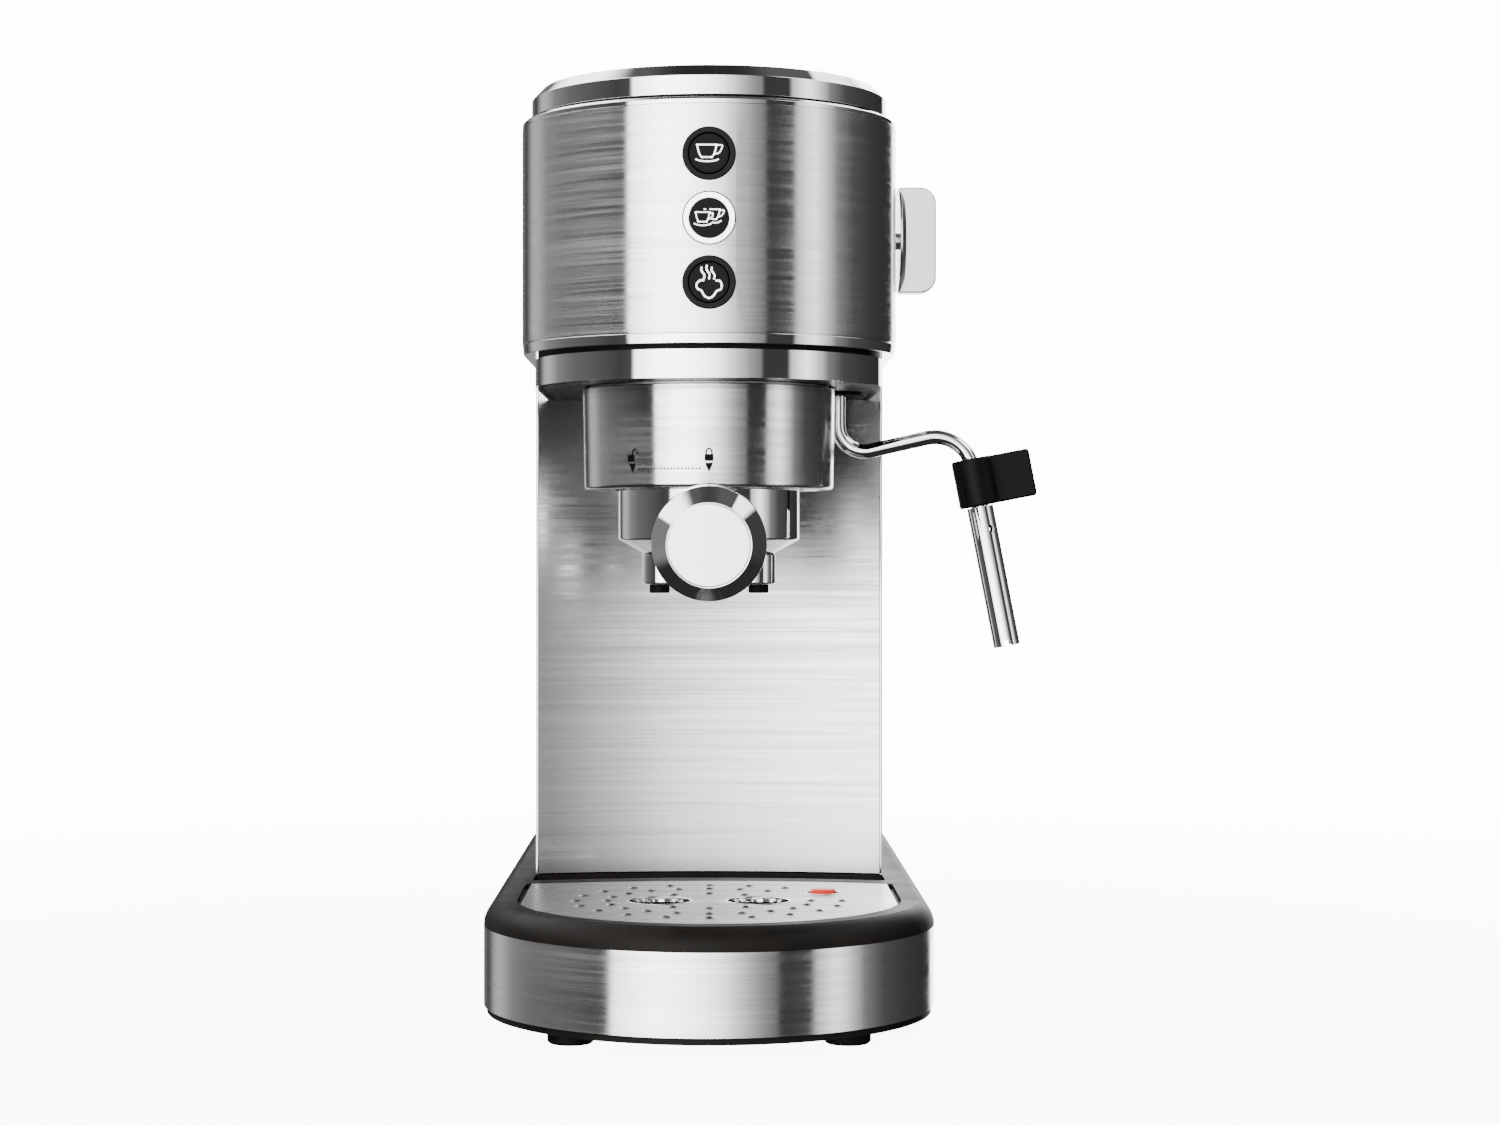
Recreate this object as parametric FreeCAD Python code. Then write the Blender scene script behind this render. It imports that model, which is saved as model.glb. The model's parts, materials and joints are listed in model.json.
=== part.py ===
import FreeCAD, Part
import math
import os

V = FreeCAD.Vector
os.makedirs("parts", exist_ok=True)

# Slim pump espresso machine, in millimetres. +Z is up, +X is the right-hand side as the
# user faces the machine, +Y runs from the front to the back. The origin is the point of
# the worktop under the axis of the brew group.

# ---------------------------------------------------------------- driving dimensions
SKIN = 0.8                  # steel bands and wraps
RUN = 0.1                   # radial clearance of a shaft that turns or slides in a bore
GAP = 0.3                   # clearance between pieces that move past each other

# base
BASE_R = 75.0               # front semicircle, and half the width
BASE_CORNER = 16.0          # rear corners
FOOT_H = 4.0
FOOT_R = 7.5
FOOT_BEVEL = 0.8
FRONT_FEET = (44.0, -45.0)
REAR_FOOT_X = 50.0
REAR_FOOT_IN = 28.0         # rear feet in front of the rear face
PLATE_T = 2.0
PLATE_INSET = 1.0
BAND_H = 26.7
RIM_RISE = 7.5              # rounded shoulder of the rim, above the band
RIM_ROUND = 5.0             # how far in that shoulder runs
RIM_FLANGE = 11.0           # width of the rim seen from above
RIM_STEP = 3.0              # ledge inside the rim that carries the grid
LEDGE_THICK = 2.0
BASE_WALL = 2.2
DECK_T = 2.2
BULKHEAD_T = 2.0
DRAWER_PLAY = 0.4           # between the tray unit's curved back and the base behind it
RECESS_GAP = 17.0           # dark recess in front of the column
RECESS_DEPTH = 2.0

# column
COLUMN_W = 62.2             # half width, and the radius of the head's front
PANEL_EDGE_Y = 71.0         # front panel at its two side edges
PANEL_SAG = 8.0             # depth of the front panel's hollow curve
PANEL_T = 1.0
PANEL_LIFT = 0.5            # panel's foot above the deck
PANEL_TO_DRAWER = 24.0      # from the front panel to the back of the drip tray unit
BODY_BACK = 152.0           # back of column and head
BODY_CORNER = 10.0

# head: heights going up from its underside, and insets from its outline
UNDERSIDE_Z = 210.7
LOWER_RING_H = 9.1
LOWER_SHADOW = 1.4
SKIRT_H = 3.8
SHELL_H = 70.9
TRIM_H = 2.5
UPPER_SHADOW = 1.1
TOP_RING_H = 6.0
TOP_BEVEL_H = 3.7
LOWER_RING_INSET = 4.35
TOP_RING_INSET = 3.2
TOP_BEVEL = 3.5
TOP_LAND = 1.5
TRIM_ROUND = 2.2
SKIRT_SLOPE = 0.5
CARRIER_INSET = 5.2
CARRIER_WALL = 2.0
UNDER_T = 2.5
CUP_LEDGE = 6.0
CUP_LEDGE_T = 2.0
CUP_PLATE_T = 1.5
CUP_RIB_H = 1.4
CUP_RIB_W = 2.0
CUP_RIB_PITCH = 11.0
CUP_MARGIN = 5.0

# drip tray unit
BASIN_WALL = 1.8
BASIN_UNDER = 0.3           # basin's floor above the tray unit's lower edge
BASIN_BACK = 1.0            # basin's back wall in front of the tray unit's back
GRID_T = 1.6
GRID_HALF_W = 62.0
GRID_HOLE_R = 10.25
GRID_HOLE_X = 16.4
GRID_CENTRE_Y = -5.0
GRID_REAR_PLAY = 0.3
TRAY_BAR = 2.7              # rim bar behind the grid
TRAY_STEP = 6.0             # the ledge's reach from the curved back
BUMP_R = 2.0
BUMP_H = 0.6
BUMP_CIRCLES = (34.0, 44.4)
BUMP_COUNT = 20
FLOAT_BUMPS = (1, 2)        # places left out beside the float
INNER_BUMP_R = 20.3
INNER_BUMP_ANGLES = (54, 90, 126, 234, 270, 306)
FLOAT_X = 38.8
FLOAT_Y = 17.4
FLOAT_PIN_R = 4.3
FLOAT_HOLE_PLAY = 1.3
FLOAT_BODY_R = 9.0
FLOAT_BODY_H = 10.0
FLOAT_PROUD = 1.4

# portafilter, from the cup outwards
PF_R = 30.2
PF_WALL = 4.0
PF_H = 31.5
PF_CONE_IN = 8.3
PF_CONE_H = 4.6
PF_FLOOR_T = 3.0
BASKET_WALL = 0.5
BASKET_DEPTH = 23.0
BASKET_LIP_IN = 0.5
FILTER_HOLE_R = 0.7
FILTER_PITCH = 4.0
SPOUT_HALF_W = 22.2
SPOUT_HALF_D = 8.5
SPOUT_H = 10.3
TIP_X = 16.5
TIP_R = 3.35
TIP_H = 2.9
CHANNEL_R = 2.2
HANDLE_RISE = 7.8           # handle's root above the cup's lower edge
HANDLE_LENGTH = 135.4
HANDLE_DROP = 4.4           # degrees below level
STEM_R = 6.5
STEM_LENGTH = 22.0
GRIP_START = 17.0
GRIP_R0 = 11.5
GRIP_R1 = 14.6
GRIP_SWELL = 1.2
CAP_START = 117.0
CAP_R = 16.1
CAP_BEVEL = 4.6             # width and length of the end's cone
CAP_CONE = 7.0
LUGS = 3
LUG_REACH = 5.7
LUG_HALF_ANGLE = 13.0       # degrees
SLOT_PLAY = 2.5             # degrees, each side of a lug on its way up
LUG_T = 5.0
LUG_PLAY = 0.6
LUG_SEAT_PLAY = 0.4
LOCK_TURN = 40.0            # degrees from the way in to locked

# brew group round it
PF_TO_COLLAR = 16.5         # from the cup's lower edge up to the collar's lower edge
BORE_PLAY = 0.8
MOUTH_IN = 0.7
MOUTH_LIP = 4.3
COLLAR_FLARE = 0.55
COLLAR_H = 33.3
COLLAR_WALL = 1.2
COLLAR_BEVEL = 0.8
COLLAR_SHADOW = 0.7
COLLAR_FIT = 0.1
GROUP_LIP_T = 1.5
LEDGE_T = 6.0
EAR_ROOM = 6.8
GASKET_H = 6.7
GASKET_PLAY = 0.2
GROUP_FLANGE = 1.95
GROUP_FLANGE_T = 4.8
SCREEN_PLAY = 2.0
SCREEN_T = 1.2
BOSS_R = 8.0
BOSS_SCREW_L = 8.0

# buttons, the top one first
BUTTON_DROP = 15.5          # top button below the shell's upper edge
BUTTON_PITCH = 20.1
BUTTON_NAMES = ("one_cup", "two_cups", "steam")
BUTTON_R = 6.4
RING_W = 1.95
RING_PROUD = 0.35
RING_SINK = 0.15            # cap's face below the ring's
BUTTON_TRAVEL = 1.5
BUTTON_T = 3.3
BUTTON_STEM_R = 2.4
BOARD_Y = -44.0
BOARD_T = 1.6
BOARD_HALF_W = 16.0
BOARD_MARGIN = 10.0
SWITCH_H = 3.9
SWITCH_HALF = 3.0
SWITCH_PIN_R = 1.7
POST_R = 2.5
POST_X = 12.0
POST_RISE = 24.0

# steam valve, knob and wand
KNOB_Y = 30.0
KNOB_DROP = 32.8            # knob's axis below the shell's upper edge
KNOB_R = 18.0
KNOB_GAP = 2.6
KNOB_DISC_T = 2.2
KNOB_RIM_T = 0.8
KNOB_BEVEL = 3.0
BLADE_REACH = 13.1
BLADE_HALF_H = 18.1
BLADE_HALF_T = 4.6
BLADE_ROUND = 5.5
KNOB_STEM_R = 2.9
VALVE_L = 16.0
VALVE_HALF_H = 13.0
VALVE_SIDE = 9.5            # block beyond the wand's axis and the knob's
VALVE_BORE = 10.0
WAND_IN = 10.8              # wand's axis inside the head carrier's wall
WAND_CLEAR = 8.73           # and outside the collar
WAND_BACK = 25.0            # and at least this far behind the brew group's axis
WAND_R = 2.5
WAND_SOCKET = 12.8          # pipe's upper end above the top of the underside plate
WAND_TILT = 11.0            # degrees, the lower leg from upright
WAND_ELBOW = 22.4           # elbow and knee below the underside
WAND_KNEE = 12.6
WAND_BENDS = (9.0, 13.0)
NOZZLE_X = 46.6
NOZZLE_DROP = 28.6
NOZZLE_R = 3.0
NOZZLE_BORE_R = 0.8
NOZZLE_LENGTH = 46.0
BUSH_R = 6.5
BUSH_FLANGE_R = 8.0
BUSH_FLANGE_T = 1.0
OUTLET_R = 5.0
GRIP_TUBE_R = 6.8
GRIP_TAB = 20.8
GRIP_TALL = 16.5
GRIP_TAB_T = 9.0
GRIP_ABOVE = 6.0
SLEEVE_R = 4.55
SLEEVE_WALL = 0.8
SLEEVE_GRIP = 6.0           # length that slides on the nozzle
SLEEVE_LENGTH = 48.4
NOTCH_HALF_W = 1.2
NOTCH_H = 2.0
AIR_HOLE_R = 1.2
AIR_HOLE_DROP = 7.5

# water tank
TANK_GAP = 2.0
TANK_MARGIN = 6.0           # base beyond the back of the tank
TANK_HALF_W = 58.0
TANK_DEPTH = 96.0
TANK_WALL = 2.0
TANK_FLOOR = 3.0
TANK_CORNER = 10.0
TANK_OVER = 0.1             # rim of the tank above the shell's upper edge
LID_T = 3.2
NIPPLE_R = 8.0
NIPPLE_H = 9.0
NIPPLE_BORE_R = 4.0
SEAT_WALL = 2.0
SEAT_IN = 31.0              # nipple's axis behind the tank's front
HINGE_R = 2.6
HINGE_RISE = 1.6
HINGE_PIN_R = 1.0
HINGE_HALF_W = 40.0
HINGE_LUG = 2.0
KNUCKLE_R = 1.6

# inside the column
SHELF_RISE = 81.8           # shelf above the deck
SHELF_T = 2.5
SPINE_T = 3.0
SPINE_HALF_W = 46.0
SHELF_GAP = 10.0            # shelf, and its ribs, behind the panel's sheet
RIB_GAP = 20.0
RIB_H = 14.0
RIB_T = 2.0
PUMP_FORWARD = 2.0          # pump's axis in front of the middle of the column's room
PUMP_COIL_MAX = 21.0        # half the coil's side, where the room allows it
PUMP_AROUND = 8.0           # kept free round the coil
PUMP_STEP = 6.0             # from the coil's side in to the barrel
PUMP_PORT_R = 6.0
PUMP_HALF_L = 40.0
MOUNT_R = 8.0
MOUNT_H = 20.8
MOUNT_X = 11.0
METER_X = 8.0
METER_R = 15.0
METER_H = 14.0
METER_CAP_R = 12.0
METER_CAP_H = 4.0
METER_PORT_R = 3.5
METER_PORT_L = 22.0
HOSE_R = 3.2
HOSE_X = 51.0
HOSE_BEND = 8.0
HOSE_IN_BACK = 8.0          # suction hose's upright run in front of the column's back
HOSE_OVER = 12.0            # pressure hose above the thermoblock
HOSE_IN = (20.0, 30.0)      # where it enters the block
BLOCK_HALF_W = 36.0
BLOCK_FRONT = -34.0
BLOCK_BACK = 50.0
BLOCK_H = 45.0
BLOCK_CORNER = 10.0
BLOCK_GROOVES = (10.0, 24.0)
BLOCK_GROOVE_W = 4.0
BLOCK_GROOVE_D = 3.0
THERMOSTAT_R = 8.0
THERMOSTAT_PLACES = ((-18.0, -16.0), (-18.0, 20.0))
SCREW_R = 2.0
SCREW_HEAD_R = 3.6
SCREW_HEAD_T = 1.2
SCREW_L = 14.0
SCREW_BOSS_R = 5.0
SCREW_IN = 13.0             # front pair, in from the base's side
REAR_SCREW_IN = 19.0
SCREW_Y = 84.0
REAR_SCREW_UP = 51.0        # rear pair in front of the rear face

# cord gland and power switch
CORD_R = 3.6
GLAND_X = -38.0
GLAND_RISE = 14.0
GLAND_R = 6.0
GLAND_L = 6.0
GLAND_FLANGE_R = 8.5
GLAND_FLANGE_T = 2.2
SWITCH_IN = 38.0            # switch in front of the column's back
SWITCH_Z = 164.0
SWITCH_FRAME_H = 24.0
SWITCH_FRAME_W = 15.0
SWITCH_BEZEL = 1.5
SWITCH_DEPTH = 14.0
SWITCH_WALL = 2.0
SWITCH_PROUD = 1.0
ROCKER_TILT = 7.0           # degrees, to either side of level
ROCKER_PIN_R = 1.0
ROCKER_PIN_L = 1.5
ROCKER_DISH = 0.9
ROCKER_PLAY = 1.1           # above and below the rocker, for its swing
PIVOT_DEPTH = 5.0

# ---------------------------------------------------------------- derived sizes
PLATE_Z = FOOT_H
BODY_Z = FOOT_H + PLATE_T
BAND_TOP = BODY_Z + BAND_H
DECK_Z = BAND_TOP + RIM_RISE
BASIN_FLOOR_Z = BODY_Z + GAP + BASIN_UNDER
PANEL_FOOT_Z = DECK_Z + PANEL_LIFT
PANEL_R = (COLUMN_W ** 2 + PANEL_SAG ** 2) / (2 * PANEL_SAG)
CURVE_Y = PANEL_EDGE_Y + PANEL_SAG - PANEL_R
DRAWER_R = PANEL_R - PANEL_TO_DRAWER
GRID_R = BASE_R - RIM_FLANGE - GAP
FLOAT_HOLE_R = FLOAT_PIN_R + FLOAT_HOLE_PLAY

LOWER_RING_TOP = UNDERSIDE_Z + LOWER_RING_H
SKIRT_Z = LOWER_RING_TOP + LOWER_SHADOW
SHELL_Z0 = SKIRT_Z + SKIRT_H
SHELL_Z1 = SHELL_Z0 + SHELL_H
TRIM_TOP = SHELL_Z1 + TRIM_H
TOP_RING_Z = TRIM_TOP + UPPER_SHADOW
TOP_RING_EDGE = TOP_RING_Z + TOP_RING_H
TOP_Z = TOP_RING_EDGE + TOP_BEVEL_H
UNDER_TOP = UNDERSIDE_Z + UNDER_T
CARRIER_R = COLUMN_W - CARRIER_INSET
CARRIER_IN_R = CARRIER_R - CARRIER_WALL

LUG_R = PF_R + LUG_REACH
EAR_ROOM_R = LUG_R + LUG_PLAY
COLLAR_MOUTH_R = EAR_ROOM_R + MOUTH_IN
COLLAR_FOOT_R = COLLAR_MOUTH_R + MOUTH_LIP
COLLAR_R = COLLAR_FOOT_R + COLLAR_FLARE
COLLAR_Z = UNDERSIDE_Z - COLLAR_SHADOW - COLLAR_H
GROUP_FLANGE_R = COLLAR_R + GROUP_FLANGE
GROUP_BORE_R = PF_R + BORE_PLAY
GROUP_Z = COLLAR_Z + GROUP_LIP_T
EAR_Z = GROUP_Z + LEDGE_T
EAR_ROOM_TOP = EAR_Z + EAR_ROOM
PF_EDGE_Z = COLLAR_Z - PF_TO_COLLAR
PF_TOP = PF_EDGE_Z + PF_H
PF_BORE_R = PF_R - PF_WALL
PF_CONE_R = PF_R - PF_CONE_IN
GASKET_Z = PF_TOP + BASKET_WALL + GASKET_PLAY
GASKET_TOP = GASKET_Z + GASKET_H
GASKET_R = PF_R + BORE_PLAY / 2
SCREEN_R = PF_BORE_R - SCREEN_PLAY
HANDLE_START_Z = PF_EDGE_Z + HANDLE_RISE
SPOUT_Z = PF_EDGE_Z - PF_CONE_H - SPOUT_H

RING_R = BUTTON_R + RUN + RING_W
BUTTON_Z = tuple(SHELL_Z1 - BUTTON_DROP - i * BUTTON_PITCH for i in range(3))
KNOB_Z = SHELL_Z1 - KNOB_DROP
VALVE_X1 = CARRIER_IN_R - 1.0
WAND_X = CARRIER_IN_R - WAND_IN
WAND_Y = math.sqrt(max(WAND_BACK ** 2, (COLLAR_R + WAND_CLEAR) ** 2 - WAND_X ** 2))
WAND_TOP_Z = UNDER_TOP + WAND_SOCKET
WAND_ELBOW_Z = UNDERSIDE_Z - WAND_ELBOW
WAND_KNEE_Z = UNDERSIDE_Z - WAND_KNEE
NOZZLE_Z = UNDERSIDE_Z - NOZZLE_DROP

TANK_FRONT = BODY_BACK + TANK_GAP
TANK_BACK = TANK_FRONT + TANK_DEPTH
TANK_Z = DECK_Z + GAP
TANK_TOP_Z = SHELL_Z1 + TANK_OVER
SEAT_Y = TANK_FRONT + SEAT_IN
HINGE_Y = TANK_BACK - HINGE_R
HINGE_Z = TANK_TOP_Z + HINGE_RISE
PANEL_BACK = PANEL_EDGE_Y + PANEL_SAG + PANEL_T
PUMP_Y = (PANEL_BACK + BODY_BACK) / 2 - PUMP_FORWARD
PUMP_COIL = min(PUMP_COIL_MAX, PUMP_Y - PANEL_BACK - PUMP_AROUND)
PUMP_BODY_R = PUMP_COIL - PUMP_STEP
PUMP_Z = DECK_Z + MOUNT_H + PUMP_COIL
HOSE_REAR_Y = BODY_BACK - HOSE_IN_BACK
SHELF_Z = DECK_Z + SHELF_RISE
BLOCK_Z = UNDER_TOP + GROUP_FLANGE_T
BLOCK_TOP = BLOCK_Z + BLOCK_H
GLAND_Z = BODY_Z + GLAND_RISE
SWITCH_Y = BODY_BACK - SWITCH_IN
PIVOT = (-COLUMN_W + PIVOT_DEPTH, SWITCH_Y, SWITCH_Z)
BASE_BACK = TANK_BACK + TANK_MARGIN
REAR_FEET = (REAR_FOOT_X, BASE_BACK - REAR_FOOT_IN)
SCREW_XY = ((BASE_R - SCREW_IN, SCREW_Y), (BASE_R - REAR_SCREW_IN, BASE_BACK - REAR_SCREW_UP))


# ---------------------------------------------------------------- helpers
def box(x0, x1, y0, y1, z0, z1):
    return Part.makeBox(x1 - x0, y1 - y0, z1 - z0, V(x0, y0, z0))


def rod(radius, start, end):
    """Cylinder between two points."""
    a = V(*start)
    d = V(*end) - a
    return Part.makeCylinder(radius, d.Length, a, d)


def tube(outer, inner, start, end):
    return rod(outer, start, end).cut(rod(inner, start, end))


def cone(r0, r1, start, end):
    a = V(*start)
    d = V(*end) - a
    return Part.makeCone(r0, r1, d.Length, a, d)


def fuse(shapes):
    whole = shapes[0]
    for shape in shapes[1:]:
        whole = whole.fuse(shape)
    return whole.removeSplitter()


def turned(profile, x=0.0, y=0.0):
    """Solid of revolution about a vertical axis, from (radius, height) points."""
    points = [V(r, 0, z) for r, z in profile]
    face = Part.Face(Part.makePolygon(points + points[:1]))
    solid = face.revolve(V(0, 0, 0), V(0, 0, 1), 360)
    solid.translate(V(x, y, 0))
    return solid


def d_face(radius, back, corner, z):
    """Face with a round front, straight sides and two rounded rear corners."""
    c = corner
    k = c * math.sqrt(0.5)
    edges = [
        Part.Arc(V(radius, 0, z), V(0, -radius, z), V(-radius, 0, z)).toShape(),
        Part.makeLine(V(-radius, 0, z), V(-radius, back - c, z)),
        Part.Arc(V(-radius, back - c, z), V(-radius + c - k, back - c + k, z),
                 V(-radius + c, back, z)).toShape(),
        Part.makeLine(V(-radius + c, back, z), V(radius - c, back, z)),
        Part.Arc(V(radius - c, back, z), V(radius - c + k, back - c + k, z),
                 V(radius, back - c, z)).toShape(),
        Part.makeLine(V(radius, back - c, z), V(radius, 0, z)),
    ]
    return Part.Face(Part.Wire(edges))


def d_solid(outline, inset, z0, z1):
    radius, back, corner = outline
    face = d_face(radius - inset, back - inset, max(corner - inset, 1.0), z0)
    return face.extrude(V(0, 0, z1 - z0))


def d_ring(outline, outer, inner, z0, z1):
    return d_solid(outline, outer, z0, z1).cut(d_solid(outline, inner, z0 - 1, z1 + 1))


def d_sweep(outline, edges):
    """Carries a section round a D outline. The edges lie in XZ at x = radius - inset."""
    radius, back, corner = outline
    face = Part.Face(Part.Wire(edges))
    front = face.revolve(V(0, 0, 0), V(0, 0, 1), -180)
    side = face.extrude(V(0, back - corner, 0))
    at_corner = face.copy()
    at_corner.translate(V(0, back - corner, 0))
    turn = at_corner.revolve(V(radius - corner, back - corner, 0), V(0, 0, 1), 90)
    rear = face.copy()
    rear.rotate(V(0, 0, 0), V(0, 0, 1), 90)
    rear.translate(V(-(radius - corner), back - radius, 0))
    rear = rear.extrude(V(2 * (radius - corner), 0, 0))
    mirror = [side.mirror(V(0, 0, 0), V(1, 0, 0)), turn.mirror(V(0, 0, 0), V(1, 0, 0))]
    return fuse([front, side, turn, rear] + mirror)


def section(radius, points):
    """Closed run of straight edges from (inset, height) points."""
    vs = [V(radius - u, 0, z) for u, z in points]
    return [Part.makeLine(a, b) for a, b in zip(vs, vs[1:] + vs[:1])]


def curve_zone(radius, z0=-50, z1=400):
    """Everything in front of the hollow curve of the given radius."""
    return Part.makeCylinder(radius, z1 - z0, V(0, CURVE_Y, z0))


def shoulder(x0, z0, inward, rise):
    """Arc that leaves a vertical wall smoothly and turns in over the top."""
    r = (inward ** 2 + rise ** 2) / (2 * inward)
    half = math.asin(rise / r) / 2
    if inward > r:
        half = math.pi / 2 - half
    middle = V(x0 - r * (1 - math.cos(half)), 0, z0 + r * math.sin(half))
    return Part.Arc(V(x0, 0, z0), middle, V(x0 - inward, 0, z0 + rise)).toShape()


def bent_path(points, bends):
    """Straight runs joined by tangent arcs, one radius for each corner."""
    vs = [V(*p) for p in points]
    edges = []
    last = vs[0]
    for before, corner, after, bend in zip(vs, vs[1:], vs[2:], bends):
        a = (before - corner).normalize()
        b = (after - corner).normalize()
        half = a.getAngle(b) / 2
        reach = bend / math.tan(half)
        start = corner + a * reach
        end = corner + b * reach
        middle = corner + (a + b).normalize() * (bend / math.sin(half) - bend)
        edges.append(Part.makeLine(last, start))
        edges.append(Part.Arc(start, middle, end).toShape())
        last = end
    edges.append(Part.makeLine(last, vs[-1]))
    return Part.Wire(edges)


def bent_rod(points, bends, radius):
    path = bent_path(points, bends)
    start = V(*points[0])
    along = (V(*points[1]) - start).normalize()
    ring = Part.Wire(Part.makeCircle(radius, start, along))
    return path.makePipeShell([ring], True, False)


def save(shape, name):
    solids = shape.Solids
    good = shape.isValid() and len(solids) > 0
    lump = solids[0] if len(solids) == 1 else Part.makeCompound(solids)
    lump.exportStep("parts/" + name + ".step")
    print(name, "ok" if good else "BAD", len(solids), round(lump.Volume, 1))


BASE = (BASE_R, BASE_BACK, BASE_CORNER)
HEAD = (COLUMN_W, BODY_BACK, BODY_CORNER)
DRAWER_ZONE = curve_zone(DRAWER_R)
FIXED_ZONE = curve_zone(DRAWER_R + DRAWER_PLAY)
PANEL_ZONE = curve_zone(PANEL_R)


# ---------------------------------------------------------------- base
def foot_places():
    return [(s * x, y) for x, y in (FRONT_FEET, REAR_FEET) for s in (-1, 1)]


def screw_places():
    return [(s * x, y) for x, y in SCREW_XY for s in (-1, 1)]


def base_plate():
    plate = d_solid(BASE, PLATE_INSET, PLATE_Z, PLATE_Z + PLATE_T)
    for x, y in screw_places():
        plate = plate.cut(rod(SCREW_R + RUN, (x, y, 0), (x, y, BODY_Z + 1)))
    return plate


def base_feet():
    pad = turned([(0, 0), (FOOT_R - FOOT_BEVEL, 0), (FOOT_R, FOOT_BEVEL), (FOOT_R, FOOT_H),
                  (0, FOOT_H)])
    feet = []
    for x, y in foot_places():
        foot = pad.copy()
        foot.translate(V(x, y, 0))
        feet.append(foot)
    return Part.makeCompound(feet)


def base_screws():
    screws = []
    for x, y in screw_places():
        head = rod(SCREW_HEAD_R, (x, y, PLATE_Z - SCREW_HEAD_T), (x, y, PLATE_Z))
        head = head.cut(box(x - 3, x + 3, y - 0.4, y + 0.4, 0, PLATE_Z - SCREW_HEAD_T / 2))
        screws.append(fuse([head, rod(SCREW_R, (x, y, PLATE_Z), (x, y, PLATE_Z + SCREW_L))]))
    return Part.makeCompound(screws)


def rim_section(run):
    """Section through the rim: its rounded shoulder, then a run of (inset, height) points."""
    points = [(RIM_ROUND, DECK_Z), (RIM_FLANGE, DECK_Z)] + run + [(SKIN, BAND_TOP), (0.0, BAND_TOP)]
    vs = [V(BASE_R - u, 0, z) for u, z in points]
    return [shoulder(BASE_R, BAND_TOP, RIM_ROUND, RIM_RISE)] + [Part.makeLine(a, b)
                                                                for a, b in zip(vs, vs[1:])]


def rim_hull(low):
    """Everything within the steel band and the rounded rim."""
    edge = d_sweep(BASE, rim_section([(RIM_FLANGE, low), (SKIN, low)]))
    return fuse([edge, d_solid(BASE, RIM_FLANGE - 1, low, DECK_Z)])


def gland_hole():
    return rod(GLAND_R, (GLAND_X, BASE_BACK - 10, GLAND_Z), (GLAND_X, BASE_BACK + 1, GLAND_Z))


def base_housing():
    wall_in = SKIN + BASE_WALL
    under = DECK_Z - DECK_T
    wall = d_sweep(BASE, rim_section([(RIM_FLANGE, under), (wall_in, under), (wall_in, BODY_Z),
                                      (SKIN, BODY_Z)]))
    deck = d_solid(BASE, RIM_FLANGE - 1, under, DECK_Z)
    bulkhead = curve_zone(DRAWER_R + DRAWER_PLAY + BULKHEAD_T, BODY_Z, under + DECK_T / 2)
    bulkhead = bulkhead.common(rim_hull(BODY_Z))
    bosses = [rod(SCREW_BOSS_R, (x, y, BODY_Z), (x, y, DECK_Z - 1)) for x, y in screw_places()]
    body = fuse([wall.cut(FIXED_ZONE), deck.cut(FIXED_ZONE), bulkhead.cut(FIXED_ZONE)] + bosses)
    recess = curve_zone(PANEL_R, DECK_Z - RECESS_DEPTH, DECK_Z + 1)
    recess = recess.cut(curve_zone(PANEL_R - RECESS_GAP))
    body = body.cut(recess.common(box(-COLUMN_W, COLUMN_W, 0, BODY_BACK, 0, DECK_Z + 1)))
    for x, y in screw_places():
        body = body.cut(rod(SCREW_R + RUN, (x, y, 0), (x, y, PLATE_Z + SCREW_L + 1)))
    body = body.cut(rod(NIPPLE_R + GAP + SEAT_WALL, (0, SEAT_Y, 0), (0, SEAT_Y, DECK_Z + 1)))
    body = body.cut(rod(HOSE_R + 1, (0, HOSE_REAR_Y, 0), (0, HOSE_REAR_Y, DECK_Z + 1)))
    return body.cut(gland_hole())


def band(foot_z):
    return d_ring(BASE, 0.0, SKIN, foot_z, BAND_TOP)


def base_band():
    return band(BODY_Z).cut(FIXED_ZONE).cut(gland_hole())


def cord_gland():
    y0 = BASE_BACK - SKIN - BASE_WALL - GLAND_L
    flange = rod(GLAND_FLANGE_R, (GLAND_X, BASE_BACK, GLAND_Z),
                 (GLAND_X, BASE_BACK + GLAND_FLANGE_T, GLAND_Z))
    stem = rod(GLAND_R, (GLAND_X, y0, GLAND_Z), (GLAND_X, BASE_BACK, GLAND_Z))
    bore = rod(CORD_R, (GLAND_X, y0 - 1, GLAND_Z), (GLAND_X, BASE_BACK + 10, GLAND_Z))
    return fuse([flange, stem]).cut(bore)


# ---------------------------------------------------------------- drip tray unit
def tray_band():
    return band(BODY_Z + GAP).common(DRAWER_ZONE)


def tray_rim():
    wall_in = SKIN + BASE_WALL
    low = BODY_Z + GAP
    ledge_z = DECK_Z - GRID_T
    under = ledge_z - LEDGE_THICK
    ledge_in = RIM_FLANGE + RIM_STEP
    wall = d_sweep(BASE, rim_section([(RIM_FLANGE, ledge_z), (ledge_in, ledge_z), (ledge_in, under),
                                      (wall_in, under), (wall_in, low), (SKIN, low)]))
    hull = rim_hull(low)
    bar = curve_zone(DRAWER_R, under, DECK_Z).cut(curve_zone(DRAWER_R - TRAY_BAR))
    step = curve_zone(DRAWER_R, under, ledge_z).cut(curve_zone(DRAWER_R - TRAY_STEP))
    return fuse([wall.common(DRAWER_ZONE), bar.common(hull), step.common(hull)])


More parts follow.
